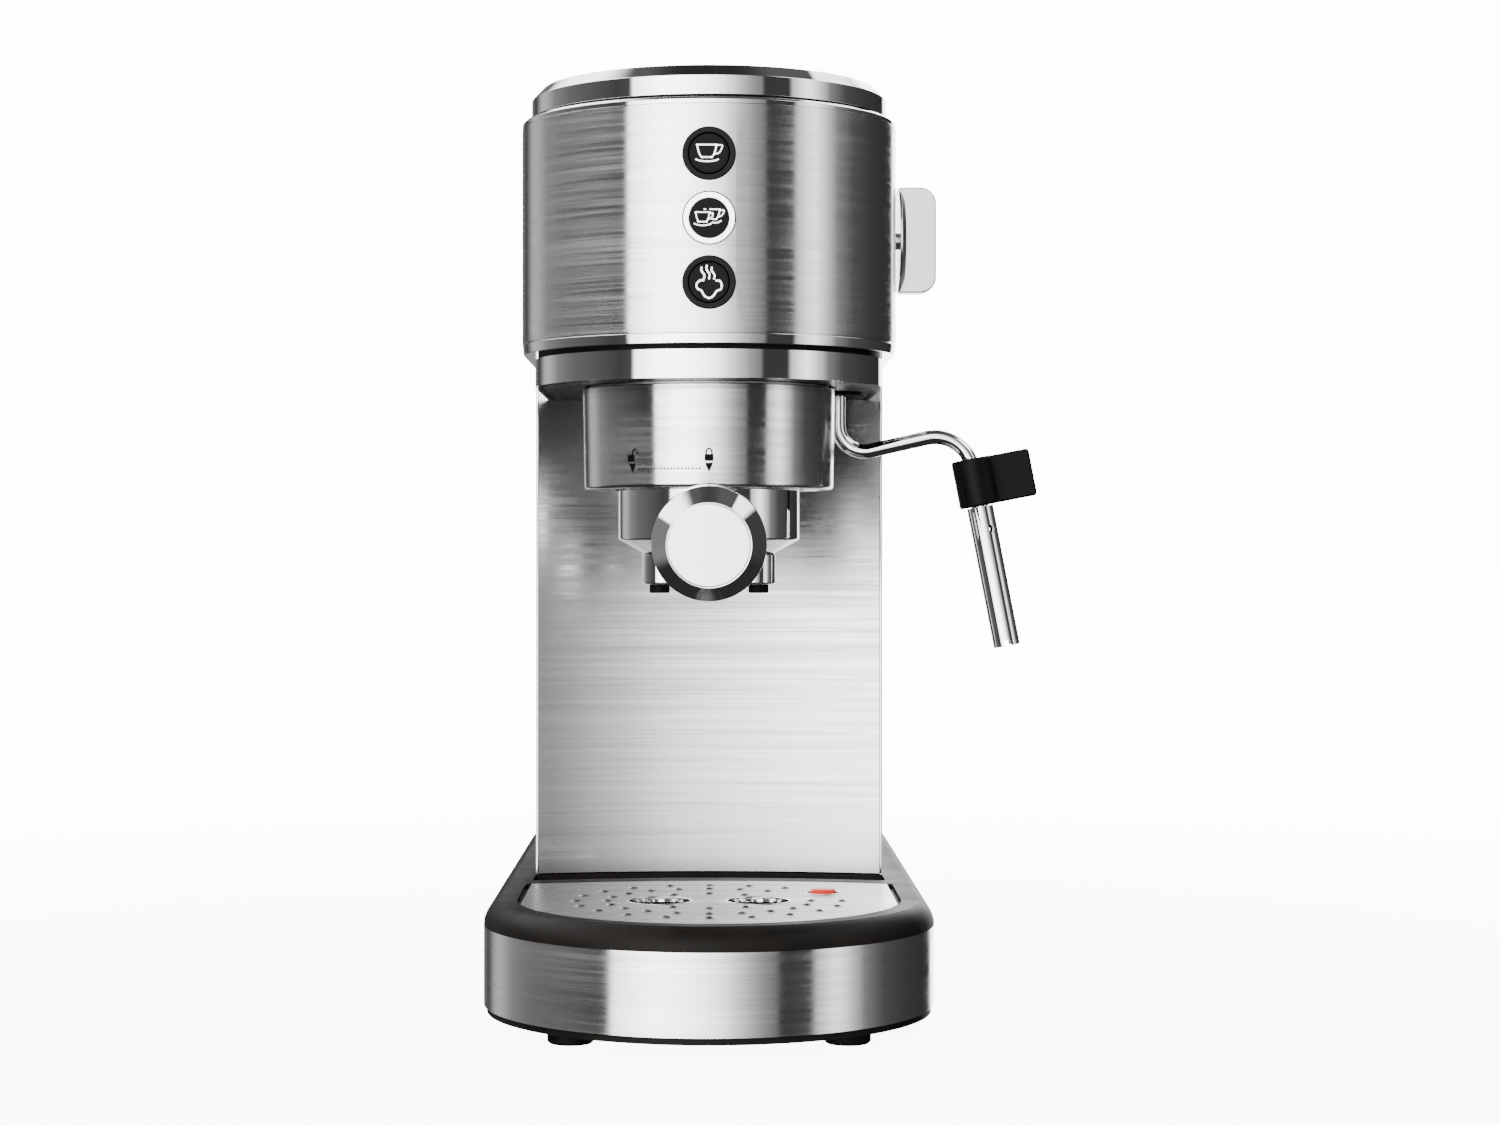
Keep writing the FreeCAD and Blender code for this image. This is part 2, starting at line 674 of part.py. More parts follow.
def tray_basin():
    top = DECK_Z - GRID_T - LEDGE_THICK - GAP
    inset = SKIN + BASE_WALL + GAP
    outer = d_solid(BASE, inset, BASIN_FLOOR_Z, top).common(curve_zone(DRAWER_R - BASIN_BACK))
    inner = d_solid(BASE, inset + BASIN_WALL, BASIN_FLOOR_Z + BASIN_WALL, top + 1)
    inner = inner.common(curve_zone(DRAWER_R - BASIN_BACK - BASIN_WALL))
    flange = d_ring(BASE, inset, RIM_FLANGE + RIM_STEP, top, top + GAP)
    flange = flange.common(curve_zone(DRAWER_R - TRAY_STEP))
    return fuse([outer.cut(inner), flange])


def bump_places():
    places = []
    for circle, radius in enumerate(BUMP_CIRCLES):
        for i in range(BUMP_COUNT):
            if i in FLOAT_BUMPS:
                continue
            a = 2 * math.pi * i / BUMP_COUNT
            places.append((radius * math.cos(a), GRID_CENTRE_Y + radius * math.sin(a)))
    for degrees in INNER_BUMP_ANGLES:
        a = math.radians(degrees)
        places.append((INNER_BUMP_R * math.cos(a), GRID_CENTRE_Y + INNER_BUMP_R * math.sin(a)))
    return places


def drip_grid():
    blank = d_solid((GRID_R, BASE_BACK, BASE_CORNER), 0.0, DECK_Z - GRID_T, DECK_Z)
    blank = blank.common(curve_zone(DRAWER_R - TRAY_BAR - GRID_REAR_PLAY))
    blank = blank.common(box(-GRID_HALF_W, GRID_HALF_W, -90, 90, 0, 60))
    sphere_r = (BUMP_R ** 2 + BUMP_H ** 2) / (2 * BUMP_H)
    low = math.degrees(math.asin((sphere_r - BUMP_H - 0.2) / sphere_r))
    caps = []
    for x, y in bump_places():
        centre = V(x, y, DECK_Z + BUMP_H - sphere_r)
        caps.append(Part.makeSphere(sphere_r, centre, V(0, 0, 1), low, 90, 360))
    plate = blank.multiFuse(caps)
    for s in (-1, 1):
        x = s * GRID_HOLE_X
        plate = plate.cut(rod(GRID_HOLE_R, (x, GRID_CENTRE_Y, 0), (x, GRID_CENTRE_Y, 60)))
    return plate.cut(rod(FLOAT_HOLE_R, (FLOAT_X, FLOAT_Y, 0), (FLOAT_X, FLOAT_Y, 60)))


def tray_float():
    z0 = BASIN_FLOOR_Z + BASIN_WALL + GAP
    z1 = z0 + FLOAT_BODY_H
    top = DECK_Z + FLOAT_PROUD
    profile = [(0, z0), (FLOAT_BODY_R, z0), (FLOAT_BODY_R, z1), (FLOAT_PIN_R, z1)]
    profile += [(FLOAT_PIN_R, top - 0.5), (FLOAT_PIN_R - 0.6, top), (0, top)]
    return turned(profile, FLOAT_X, FLOAT_Y)


# ---------------------------------------------------------------- column
def lower_envelope():
    return d_solid(HEAD, LOWER_RING_INSET, UNDERSIDE_Z, SKIRT_Z + 1)


def column_panel():
    sheet = curve_zone(PANEL_R + PANEL_T, PANEL_FOOT_Z, SKIRT_Z)
    sheet = sheet.cut(PANEL_ZONE)
    sheet = sheet.common(box(-COLUMN_W, COLUMN_W, 0, 90, 0, 300))
    return sheet.cut(lower_envelope())


def column_wrap():
    wrap = d_ring(HEAD, 0.0, SKIN, DECK_Z, SKIRT_Z)
    wrap = wrap.cut(curve_zone(PANEL_R + PANEL_T + GAP))
    slot = box(-COLUMN_W - 1, -COLUMN_W + SKIN + 1, SWITCH_Y - SWITCH_FRAME_W / 2,
               SWITCH_Y + SWITCH_FRAME_W / 2, SWITCH_Z - SWITCH_FRAME_H / 2,
               SWITCH_Z + SWITCH_FRAME_H / 2)
    return wrap.cut(slot)


def chassis():
    y1 = BODY_BACK - SKIN - RUN
    y0 = y1 - SPINE_T
    w = SPINE_HALF_W
    spine = box(-w, w, y0, y1, DECK_Z, SKIRT_Z)
    shelf = box(-w, w, PANEL_BACK + SHELF_GAP, y0 + 1, SHELF_Z, SHELF_Z + SHELF_T)
    ribs = [box(x, x + RIB_T, PANEL_BACK + RIB_GAP, y0 + 1, SHELF_Z - RIB_H, SHELF_Z + 1)
            for x in (1 - w, w - 1 - RIB_T)]
    return fuse([spine, shelf] + ribs)


def across(radius, reach):
    """Round bar along the rocker's pivot."""
    x, y, z = PIVOT
    return rod(radius, (x, y - reach, z), (x, y + reach, z))


def switch_frame():
    x0 = -COLUMN_W - SWITCH_PROUD
    h = SWITCH_FRAME_H / 2
    w = SWITCH_FRAME_W / 2
    b = SWITCH_BEZEL
    back = -COLUMN_W + SWITCH_DEPTH
    body = box(-COLUMN_W, back, SWITCH_Y - w, SWITCH_Y + w, SWITCH_Z - h, SWITCH_Z + h)
    bezel = box(x0, -COLUMN_W, SWITCH_Y - w - b, SWITCH_Y + w + b, SWITCH_Z - h - b, SWITCH_Z + h + b)
    t = SWITCH_WALL
    pocket = box(x0 - 1, back - 3, SWITCH_Y - w + t, SWITCH_Y + w - t, SWITCH_Z - h + b, SWITCH_Z + h - b)
    holes = across(ROCKER_PIN_R + RUN, w + 1)
    return fuse([body, bezel]).cut(pocket).cut(holes)


def power_rocker():
    h = SWITCH_FRAME_H / 2 - SWITCH_BEZEL - ROCKER_PLAY
    w = SWITCH_FRAME_W / 2 - SWITCH_WALL - GAP
    x0 = -COLUMN_W - SWITCH_PROUD + 0.4
    x1 = PIVOT[0] + 3
    outline = [(x0, -h), (x0 + ROCKER_DISH, 0), (x0, h), (x1, 3), (x1, -3)]
    points = [V(x, SWITCH_Y - w, SWITCH_Z + dz) for x, dz in outline]
    rocker = Part.Face(Part.makePolygon(points + points[:1])).extrude(V(0, 2 * w, 0))
    rocker = fuse([rocker, across(ROCKER_PIN_R, w + ROCKER_PIN_L)])
    rocker.rotate(V(*PIVOT), V(0, 1, 0), ROCKER_TILT)
    return rocker


def pump():
    c = PUMP_COIL
    coil = box(-c, c, PUMP_Y - c, PUMP_Y + c, PUMP_Z - c, PUMP_Z + c)
    coil = coil.makeFillet(2.5, coil.Edges)
    body = rod(PUMP_BODY_R, (-PUMP_HALF_L + 10, PUMP_Y, PUMP_Z), (PUMP_HALF_L - 10, PUMP_Y, PUMP_Z))
    ends = rod(PUMP_PORT_R, (-PUMP_HALF_L, PUMP_Y, PUMP_Z), (PUMP_HALF_L, PUMP_Y, PUMP_Z))
    return fuse([coil, body, ends])


def pump_mounts():
    top = PUMP_Z - PUMP_COIL
    waist = (MOUNT_R - 2, (DECK_Z + top) / 2)
    profile = [(0, DECK_Z), (MOUNT_R, DECK_Z), waist, (MOUNT_R, top), (0, top)]
    return Part.makeCompound([turned(profile, x, PUMP_Y) for x in (-MOUNT_X, MOUNT_X)])


def flow_meter():
    z0 = SHELF_Z + SHELF_T
    z1 = z0 + METER_H
    body = rod(METER_R, (METER_X, PUMP_Y, z0), (METER_X, PUMP_Y, z1))
    cap = rod(METER_CAP_R, (METER_X, PUMP_Y, z1), (METER_X, PUMP_Y, z1 + METER_CAP_H))
    mid = (z0 + z1) / 2
    ports = rod(METER_PORT_R, (METER_X - METER_PORT_L, PUMP_Y, mid),
                (METER_X + METER_PORT_L, PUMP_Y, mid))
    return fuse([body, cap, ports])


def suction_hose():
    """From the tank seat, under the deck, up into the column and round to the pump's inlet."""
    low = BODY_Z + HOSE_R + 6
    high = DECK_Z + 18
    rear = HOSE_REAR_Y
    points = [(0, SEAT_Y - NIPPLE_R - GAP - SEAT_WALL, low), (0, rear, low), (0, rear, high),
              (-HOSE_X, rear, high), (-HOSE_X, PUMP_Y, high), (-HOSE_X, PUMP_Y, PUMP_Z),
              (-PUMP_HALF_L, PUMP_Y, PUMP_Z)]
    return bent_rod(points, [HOSE_BEND] * (len(points) - 2), HOSE_R)


def pressure_hose():
    """From the pump's outlet up the column and over into the top of the thermoblock."""
    over = BLOCK_TOP + HOSE_OVER
    x, y = HOSE_IN
    points = [(PUMP_HALF_L, PUMP_Y, PUMP_Z), (HOSE_X, PUMP_Y, PUMP_Z), (HOSE_X, PUMP_Y, over),
              (x, PUMP_Y, over), (x, y, over), (x, y, BLOCK_TOP)]
    return bent_rod(points, [HOSE_BEND] * (len(points) - 2), HOSE_R)


# ---------------------------------------------------------------- head
def head_carrier():
    wall = d_ring(HEAD, CARRIER_INSET, CARRIER_INSET + CARRIER_WALL, UNDERSIDE_Z, TOP_RING_EDGE)
    ledge_in = CARRIER_INSET + CARRIER_WALL + CUP_LEDGE
    z1 = TOP_RING_EDGE - CUP_PLATE_T
    ledge = d_ring(HEAD, CARRIER_INSET + 1, ledge_in, z1 - CUP_LEDGE_T, z1)
    body = fuse([wall, ledge])
    mid = (BUTTON_Z[0] + BUTTON_Z[-1]) / 2
    posts = [rod(POST_R, (x, -CARRIER_R + CARRIER_WALL - 0.5, z), (x, BOARD_Y, z))
             for x in (-POST_X, POST_X) for z in (mid - POST_RISE, mid + POST_RISE)]
    body = fuse([body] + posts)
    for z in BUTTON_Z:
        body = body.cut(rod(BUTTON_STEM_R + RUN, (0, -COLUMN_W, z), (0, BOARD_Y, z)))
    stem = rod(KNOB_STEM_R + GAP, (VALVE_X1, KNOB_Y, KNOB_Z), (COLUMN_W, KNOB_Y, KNOB_Z))
    return body.cut(stem)


def head_shell():
    shell = d_ring(HEAD, 0.0, SKIN, SHELL_Z0, SHELL_Z1)
    for z in BUTTON_Z:
        shell = shell.cut(rod(RING_R, (0, -COLUMN_W - 1, z), (0, -CARRIER_R, z)))
    return shell.cut(rod(KNOB_STEM_R + GAP, (CARRIER_R, KNOB_Y, KNOB_Z), (COLUMN_W + 1, KNOB_Y, KNOB_Z)))


def head_skirt():
    points = [(0.0, SHELL_Z0), (CARRIER_INSET, SHELL_Z0), (CARRIER_INSET, SKIRT_Z),
              (SKIRT_SLOPE, SKIRT_Z)]
    return d_sweep(HEAD, section(COLUMN_W, points))


def lower_ring():
    ring = d_ring(HEAD, LOWER_RING_INSET, CARRIER_INSET, UNDERSIDE_Z, LOWER_RING_TOP)
    return ring.common(curve_zone(PANEL_R - 0.1))


def head_top_trim():
    run = [V(COLUMN_W - TRIM_ROUND, 0, TRIM_TOP), V(CARRIER_R, 0, TRIM_TOP),
           V(CARRIER_R, 0, SHELL_Z1), V(COLUMN_W, 0, SHELL_Z1)]
    edges = [shoulder(COLUMN_W, SHELL_Z1, TRIM_ROUND, TRIM_TOP - SHELL_Z1)]
    edges += [Part.makeLine(a, b) for a, b in zip(run, run[1:])]
    return d_sweep(HEAD, edges)


def head_top_ring():
    inner = TOP_RING_INSET + TOP_BEVEL + TOP_LAND
    points = [(TOP_RING_INSET, TOP_RING_Z), (TOP_RING_INSET, TOP_RING_EDGE),
              (TOP_RING_INSET + TOP_BEVEL, TOP_Z), (inner, TOP_Z), (inner, TOP_RING_EDGE),
              (CARRIER_INSET, TOP_RING_EDGE), (CARRIER_INSET, TOP_RING_Z)]
    return d_sweep(HEAD, section(COLUMN_W, points))


def cup_warmer_plate():
    inset = CARRIER_INSET + CARRIER_WALL + GAP
    z0 = TOP_RING_EDGE - CUP_PLATE_T
    plate = d_solid(HEAD, inset, z0, TOP_RING_EDGE)
    field = d_solid(HEAD, inset + CUP_MARGIN, z0, TOP_Z)
    ribs = []
    count = int((BODY_BACK - 14) / CUP_RIB_PITCH)
    for i in range(-4, count):
        y = i * CUP_RIB_PITCH
        bar = box(-COLUMN_W, COLUMN_W, y - CUP_RIB_W / 2, y + CUP_RIB_W / 2,
                  z0 + 0.5, TOP_RING_EDGE + CUP_RIB_H)
        ribs.append(bar.common(field))
    return plate.multiFuse(ribs).removeSplitter()


def underside_plate():
    plate = d_solid(HEAD, CARRIER_INSET + CARRIER_WALL, UNDERSIDE_Z, UNDER_TOP)
    plate = plate.common(curve_zone(PANEL_R + PANEL_T))
    plate = plate.cut(rod(COLLAR_R - COLLAR_WALL, (0, 0, UNDERSIDE_Z - 1), (0, 0, UNDER_TOP + 1)))
    return plate.cut(rod(BUSH_R, (WAND_X, WAND_Y, UNDERSIDE_Z - 1), (WAND_X, WAND_Y, UNDER_TOP + 1)))


def wand_bush():
    z0 = UNDERSIDE_Z
    low = z0 - BUSH_FLANGE_T
    profile = [(WAND_R + RUN, low), (BUSH_FLANGE_R, low), (BUSH_FLANGE_R, z0),
               (BUSH_R, z0), (BUSH_R, UNDER_TOP), (WAND_R + RUN, UNDER_TOP)]
    return turned(profile, WAND_X, WAND_Y)


def group_collar():
    top = UNDERSIDE_Z - COLLAR_SHADOW
    lip = GROUP_LIP_T
    profile = [(COLLAR_MOUTH_R, COLLAR_Z), (COLLAR_FOOT_R - COLLAR_BEVEL, COLLAR_Z),
               (COLLAR_FOOT_R, COLLAR_Z + COLLAR_BEVEL), (COLLAR_R, top), (COLLAR_R - COLLAR_WALL, top),
               (COLLAR_FOOT_R - COLLAR_WALL, COLLAR_Z + lip), (COLLAR_MOUTH_R, COLLAR_Z + lip)]
    return turned(profile)


def brew_head():
    foot_r = COLLAR_FOOT_R - COLLAR_WALL - COLLAR_FIT
    neck_r = foot_r - COLLAR_FIT
    gasket_r = GASKET_R + GASKET_PLAY
    screen_top = EAR_ROOM_TOP + SCREEN_T
    profile = [(0, screen_top), (BOSS_R, screen_top), (BOSS_R, GASKET_TOP),
               (gasket_r, GASKET_TOP), (gasket_r, EAR_ROOM_TOP), (EAR_ROOM_R, EAR_ROOM_TOP),
               (EAR_ROOM_R, EAR_Z), (GROUP_BORE_R, EAR_Z), (GROUP_BORE_R, GROUP_Z),
               (foot_r, GROUP_Z), (foot_r, EAR_ROOM_TOP), (neck_r, EAR_ROOM_TOP),
               (neck_r, UNDER_TOP), (GROUP_FLANGE_R, UNDER_TOP),
               (GROUP_FLANGE_R, BLOCK_Z), (0, BLOCK_Z)]
    head = turned(profile)
    for i in range(LUGS):
        slot = lug(i, EAR_ROOM_R, GROUP_Z - 1, EAR_Z + 1, LUG_HALF_ANGLE + SLOT_PLAY)
        slot.rotate(V(0, 0, 0), V(0, 0, 1), -LOCK_TURN)
        head = head.cut(slot)
    thread = rod(SCREW_R + RUN, (0, 0, screen_top - 1), (0, 0, screen_top + BOSS_SCREW_L + 1))
    return head.cut(thread)


def lug(index, radius, z0, z1, half_angle):
    """Ring sector of the bayonet, its inner face buried in the wall it grows from."""
    sector = Part.makeCylinder(radius, z1 - z0, V(0, 0, z0), V(0, 0, 1), 2 * half_angle)
    sector = sector.cut(rod(PF_R - 1.5, (0, 0, z0 - 1), (0, 0, z1 + 1)))
    sector.rotate(V(0, 0, 0), V(0, 0, 1), 90 + index * 360.0 / LUGS - half_angle)
    return sector


def group_gasket():
    return tube(GASKET_R, SCREEN_R + GAP, (0, 0, GASKET_Z), (0, 0, GASKET_TOP))


def shower_screen():
    z0 = EAR_ROOM_TOP
    disc = rod(SCREEN_R, (0, 0, z0), (0, 0, z0 + SCREEN_T))
    disc = disc.cut(rod(SCREW_R + RUN, (0, 0, z0 - 1), (0, 0, z0 + 5)))
    holes = []
    for k in range(2, int((SCREEN_R - 1.5) / FILTER_PITCH) + 1):
        ring = k * FILTER_PITCH
        count = int(2 * math.pi * ring / FILTER_PITCH)
        for i in range(count):
            a = 2 * math.pi * i / count
            x = ring * math.cos(a)
            y = ring * math.sin(a)
            holes.append(rod(FILTER_HOLE_R, (x, y, z0 - 1), (x, y, z0 + 5)))
    return disc.cut(Part.makeCompound(holes))


def shower_screw():
    z0 = EAR_ROOM_TOP
    head = rod(SCREW_HEAD_R + 1, (0, 0, z0 - 1.6), (0, 0, z0))
    shank = rod(SCREW_R, (0, 0, z0), (0, 0, z0 + SCREEN_T + BOSS_SCREW_L))
    return fuse([head.cut(box(-5, 5, -0.5, 0.5, z0 - 3, z0 - 0.9)), shank])


def thermoblock():
    block = box(-BLOCK_HALF_W, BLOCK_HALF_W, BLOCK_FRONT, BLOCK_BACK, BLOCK_Z, BLOCK_TOP)
    upright = [e for e in block.Edges if abs(e.tangentAt(e.FirstParameter).z) > 0.9]
    block = block.makeFillet(BLOCK_CORNER, upright)
    d = BLOCK_GROOVE_D
    for rise in BLOCK_GROOVES:
        z0 = BLOCK_Z + rise
        z1 = z0 + BLOCK_GROOVE_W
        core = box(-BLOCK_HALF_W + d, BLOCK_HALF_W - d, BLOCK_FRONT + d, BLOCK_BACK - d, z0, z1)
        block = block.cut(box(-99, 99, -99, 99, z0, z1).cut(core))
    return block


def thermostats():
    r = THERMOSTAT_R
    z0 = BLOCK_TOP
    profile = [(0, z0), (r, z0), (r, z0 + r / 2), (r - 2, z0 + r / 2 + 1), (r - 2, z0 + r + 1),
               (0, z0 + r + 1)]
    return Part.makeCompound([turned(profile, x, y) for x, y in THERMOSTAT_PLACES])


def steam_valve():
    x0 = VALVE_X1 - VALVE_L
    low = KNOB_Z - VALVE_HALF_H
    block = box(x0, VALVE_X1, WAND_Y - VALVE_SIDE, KNOB_Y + VALVE_SIDE, low, KNOB_Z + VALVE_HALF_H)
    outlet = rod(OUTLET_R, (WAND_X, WAND_Y, UNDER_TOP), (WAND_X, WAND_Y, low + 1))
    body = fuse([block, outlet])
    socket = rod(WAND_R + RUN, (WAND_X, WAND_Y, 0), (WAND_X, WAND_Y, WAND_TOP_Z + 4))
    bore = rod(KNOB_STEM_R + RUN, (VALVE_X1 - VALVE_BORE, KNOB_Y, KNOB_Z),
               (VALVE_X1 + 1, KNOB_Y, KNOB_Z))
    return body.cut(socket).cut(bore)


def control_board():
    """Circuit board with one push switch behind each button."""
    bodies = [box(-BOARD_HALF_W, BOARD_HALF_W, BOARD_Y, BOARD_Y + BOARD_T,
                  BUTTON_Z[-1] - BOARD_MARGIN, BUTTON_Z[0] + BOARD_MARGIN)]
    for z in BUTTON_Z:
        can = box(-SWITCH_HALF, SWITCH_HALF, BOARD_Y - SWITCH_H + 1, BOARD_Y,
                  z - SWITCH_HALF, z + SWITCH_HALF)
        bodies.append(fuse([can, rod(SWITCH_PIN_R, (0, BOARD_Y - SWITCH_H, z), (0, BOARD_Y - 1, z))]))
    return Part.makeCompound(bodies)


def light_ring(z):
    front = -COLUMN_W - RING_PROUD
    ring = tube(RING_R, BUTTON_R + RUN, (0, front, z), (0, -CARRIER_R, z))
    edge = [e for e in ring.Edges if abs(e.BoundBox.YMin - front) < 0.01 and e.BoundBox.YLength < 0.01]
    outer = max(edge, key=lambda e: e.Length)
    return ring.makeFillet(0.3, [outer])


def button(z):
    front = -COLUMN_W - RING_PROUD + RING_SINK
    cap = rod(BUTTON_R, (0, front, z), (0, front + BUTTON_T, z))
    rim = [e for e in cap.Edges if abs(e.BoundBox.YMin - front) < 0.01 and e.BoundBox.YLength < 0.01]
    cap = cap.makeFillet(0.4, rim)
    stem_end = BOARD_Y - SWITCH_H - BUTTON_TRAVEL - RUN
    return fuse([cap, rod(BUTTON_STEM_R, (0, front + 1, z), (0, stem_end, z))])


# ---------------------------------------------------------------- steam knob and wand
def steam_knob():
    x0 = COLUMN_W + KNOB_GAP
    x1 = x0 + KNOB_DISC_T
    disc = rod(KNOB_R, (x0, KNOB_Y, KNOB_Z), (x0 + KNOB_RIM_T, KNOB_Y, KNOB_Z))
    dome = cone(KNOB_R, KNOB_R - KNOB_BEVEL, (x0 + KNOB_RIM_T, KNOB_Y, KNOB_Z), (x1, KNOB_Y, KNOB_Z))
    h = BLADE_HALF_H
    tip = x0 + BLADE_REACH
    c = BLADE_ROUND
    k = c * (1 - math.sqrt(0.5))
    y = KNOB_Y - BLADE_HALF_T
    low = V(tip - k, y, KNOB_Z - h + k)
    high = V(tip - k, y, KNOB_Z + h - k)
    edges = [
        Part.makeLine(V(x0, y, KNOB_Z + h), V(x0, y, KNOB_Z - h)),
        Part.makeLine(V(x0, y, KNOB_Z - h), V(tip - c, y, KNOB_Z - h)),
        Part.Arc(V(tip - c, y, KNOB_Z - h), low, V(tip, y, KNOB_Z - h + c)).toShape(),
        Part.makeLine(V(tip, y, KNOB_Z - h + c), V(tip, y, KNOB_Z + h - c)),
        Part.Arc(V(tip, y, KNOB_Z + h - c), high, V(tip - c, y, KNOB_Z + h)).toShape(),
        Part.makeLine(V(tip - c, y, KNOB_Z + h), V(x0, y, KNOB_Z + h)),
    ]
    blade = Part.Face(Part.Wire(edges)).extrude(V(0, 2 * BLADE_HALF_T, 0))
    stem_end = VALVE_X1 - VALVE_BORE + 1.0
    stem = rod(KNOB_STEM_R, (stem_end, KNOB_Y, KNOB_Z), (x0 + 1, KNOB_Y, KNOB_Z))
    return fuse([disc, dome, blade, stem])


def nozzle_point(s):
    """Point on the tilted lower leg of the wand, s mm down from the end of its pipe."""
    a = math.radians(WAND_TILT)
    return (WAND_X + NOZZLE_X + s * math.sin(a), WAND_Y, NOZZLE_Z - s * math.cos(a))


def wand_pipe():
    reach = WAND_KNEE_Z - NOZZLE_Z
    knee = (WAND_X + NOZZLE_X - reach * math.tan(math.radians(WAND_TILT)), WAND_Y, WAND_KNEE_Z)
    points = [(WAND_X, WAND_Y, WAND_TOP_Z), (WAND_X, WAND_Y, WAND_ELBOW_Z), knee, nozzle_point(0.0)]
    return bent_rod(points, WAND_BENDS, WAND_R)


def wand_grip():
    top = nozzle_point(-GRIP_ABOVE)
    end = nozzle_point(GRIP_TALL - GRIP_ABOVE)
    sleeve = rod(GRIP_TUBE_R, top, end)
    a = math.radians(WAND_TILT)
    half = GRIP_TAB_T / 2
    tab = box(0, GRIP_TAB, -half, half, -GRIP_TALL, 0)
    corners = [e for e in tab.Edges if abs(e.tangentAt(e.FirstParameter).z) > 0.9
               and e.BoundBox.XMin > GRIP_TAB - 1]
    tab = tab.makeFillet(2.0, corners)
    tab.rotate(V(0, 0, 0), V(0, 1, 0), -math.degrees(a))
    tab.translate(V(*top))
    return fuse([sleeve, tab]).cut(wand_pipe()).cut(rod(NOZZLE_R, nozzle_point(0.0), end))


def wand_nozzle():
    neck = nozzle_point(NOZZLE_LENGTH - 2.0)
    body = rod(NOZZLE_R, nozzle_point(0.0), neck)
    nose = cone(NOZZLE_R, NOZZLE_R - 1.2, neck, nozzle_point(NOZZLE_LENGTH))
    bore = rod(NOZZLE_BORE_R, nozzle_point(NOZZLE_LENGTH / 2), nozzle_point(NOZZLE_LENGTH + 5))
    return fuse([body, nose]).cut(bore)


def frother_sleeve():
    start = GRIP_TALL - GRIP_ABOVE + GAP
    end = start + SLEEVE_LENGTH
    body = tube(SLEEVE_R, NOZZLE_R + RUN, nozzle_point(start), nozzle_point(start + SLEEVE_GRIP))
    skirt = tube(SLEEVE_R, SLEEVE_R - SLEEVE_WALL, nozzle_point(start + SLEEVE_GRIP), nozzle_point(end))
    sleeve = fuse([body, skirt])
    x, y, z = nozzle_point(start + AIR_HOLE_DROP)
    sleeve = sleeve.cut(rod(AIR_HOLE_R, (x, y, z), (x + 2 * SLEEVE_R, y - 4 * SLEEVE_R, z)))
    notch = box(-NOTCH_HALF_W, NOTCH_HALF_W, -10, 10, -NOTCH_H, NOTCH_H)
    notch.rotate(V(0, 0, 0), V(0, 1, 0), -WAND_TILT)
    notch.translate(V(*nozzle_point(end)))
    return sleeve.cut(notch)


# ---------------------------------------------------------------- portafilter
def handle_point(s):
    a = math.radians(HANDLE_DROP)
    return (0.0, -PF_R - s * math.cos(a), HANDLE_START_Z - s * math.sin(a))


def portafilter_body():
    z0 = PF_EDGE_Z - PF_CONE_H
    cup = turned([(0, z0), (PF_CONE_R, z0), (PF_R, PF_EDGE_Z), (PF_R, PF_TOP), (0, PF_TOP)])
    stem = rod(STEM_R, handle_point(-3.0), handle_point(STEM_LENGTH))
    parts = [cup, stem]
    lug_z = EAR_Z + LUG_SEAT_PLAY
    for i in range(LUGS):
        parts.append(lug(i, LUG_R, lug_z, lug_z + LUG_T, LUG_HALF_ANGLE))
    body = fuse(parts)
    body = body.cut(rod(PF_BORE_R, (0, 0, PF_EDGE_Z + PF_FLOOR_T), (0, 0, PF_TOP + 1)))
    return body.cut(rod(CHANNEL_R, (0, 0, z0 - 1), (0, 0, PF_TOP)))


def filter_basket():
    outer = PF_BORE_R - GAP
    z0 = PF_TOP - BASKET_DEPTH
    inner = outer - BASKET_WALL
    lip_z = PF_TOP + BASKET_WALL
    lip_r = PF_R - BASKET_LIP_IN
    floor_z = z0 + BASKET_WALL
    profile = [(0, z0), (outer - 1.5, z0), (outer, z0 + 1.5), (outer, PF_TOP), (lip_r, PF_TOP),
               (lip_r, lip_z), (inner, lip_z), (inner, floor_z + 1.5), (inner - 1.5, floor_z),
               (0, floor_z)]
    basket = turned(profile)
    holes = []
    for k in range(1, int((inner - 3.0) / FILTER_PITCH) + 1):
        ring = k * FILTER_PITCH
        count = int(2 * math.pi * ring / FILTER_PITCH)
        for i in range(count):
            a = 2 * math.pi * i / count
            x = ring * math.cos(a)
            y = ring * math.sin(a)
            holes.append(rod(FILTER_HOLE_R, (x, y, z0 - 1), (x, y, z0 + 2)))
    return basket.cut(Part.makeCompound(holes))


def spout_block():
    z1 = PF_EDGE_Z - PF_CONE_H
    mid = SPOUT_HALF_W - SPOUT_HALF_D
    body = fuse([box(-mid, mid, -SPOUT_HALF_D, SPOUT_HALF_D, SPOUT_Z, z1)]
                + [rod(SPOUT_HALF_D, (x, 0, SPOUT_Z), (x, 0, z1)) for x in (-mid, mid)])
    z = SPOUT_Z + SPOUT_H / 2
    body = body.cut(rod(CHANNEL_R, (-TIP_X, 0, z), (TIP_X, 0, z)))
    body = body.cut(rod(CHANNEL_R, (0, 0, z), (0, 0, z1 + 1)))
    for x in (-TIP_X, TIP_X):
        body = body.cut(rod(CHANNEL_R, (x, 0, SPOUT_Z - 1), (x, 0, z)))
    return body


def spout_tips():
    return Part.makeCompound([tube(TIP_R, CHANNEL_R, (x, 0, SPOUT_Z - TIP_H), (x, 0, SPOUT_Z))
                              for x in (-TIP_X, TIP_X)])


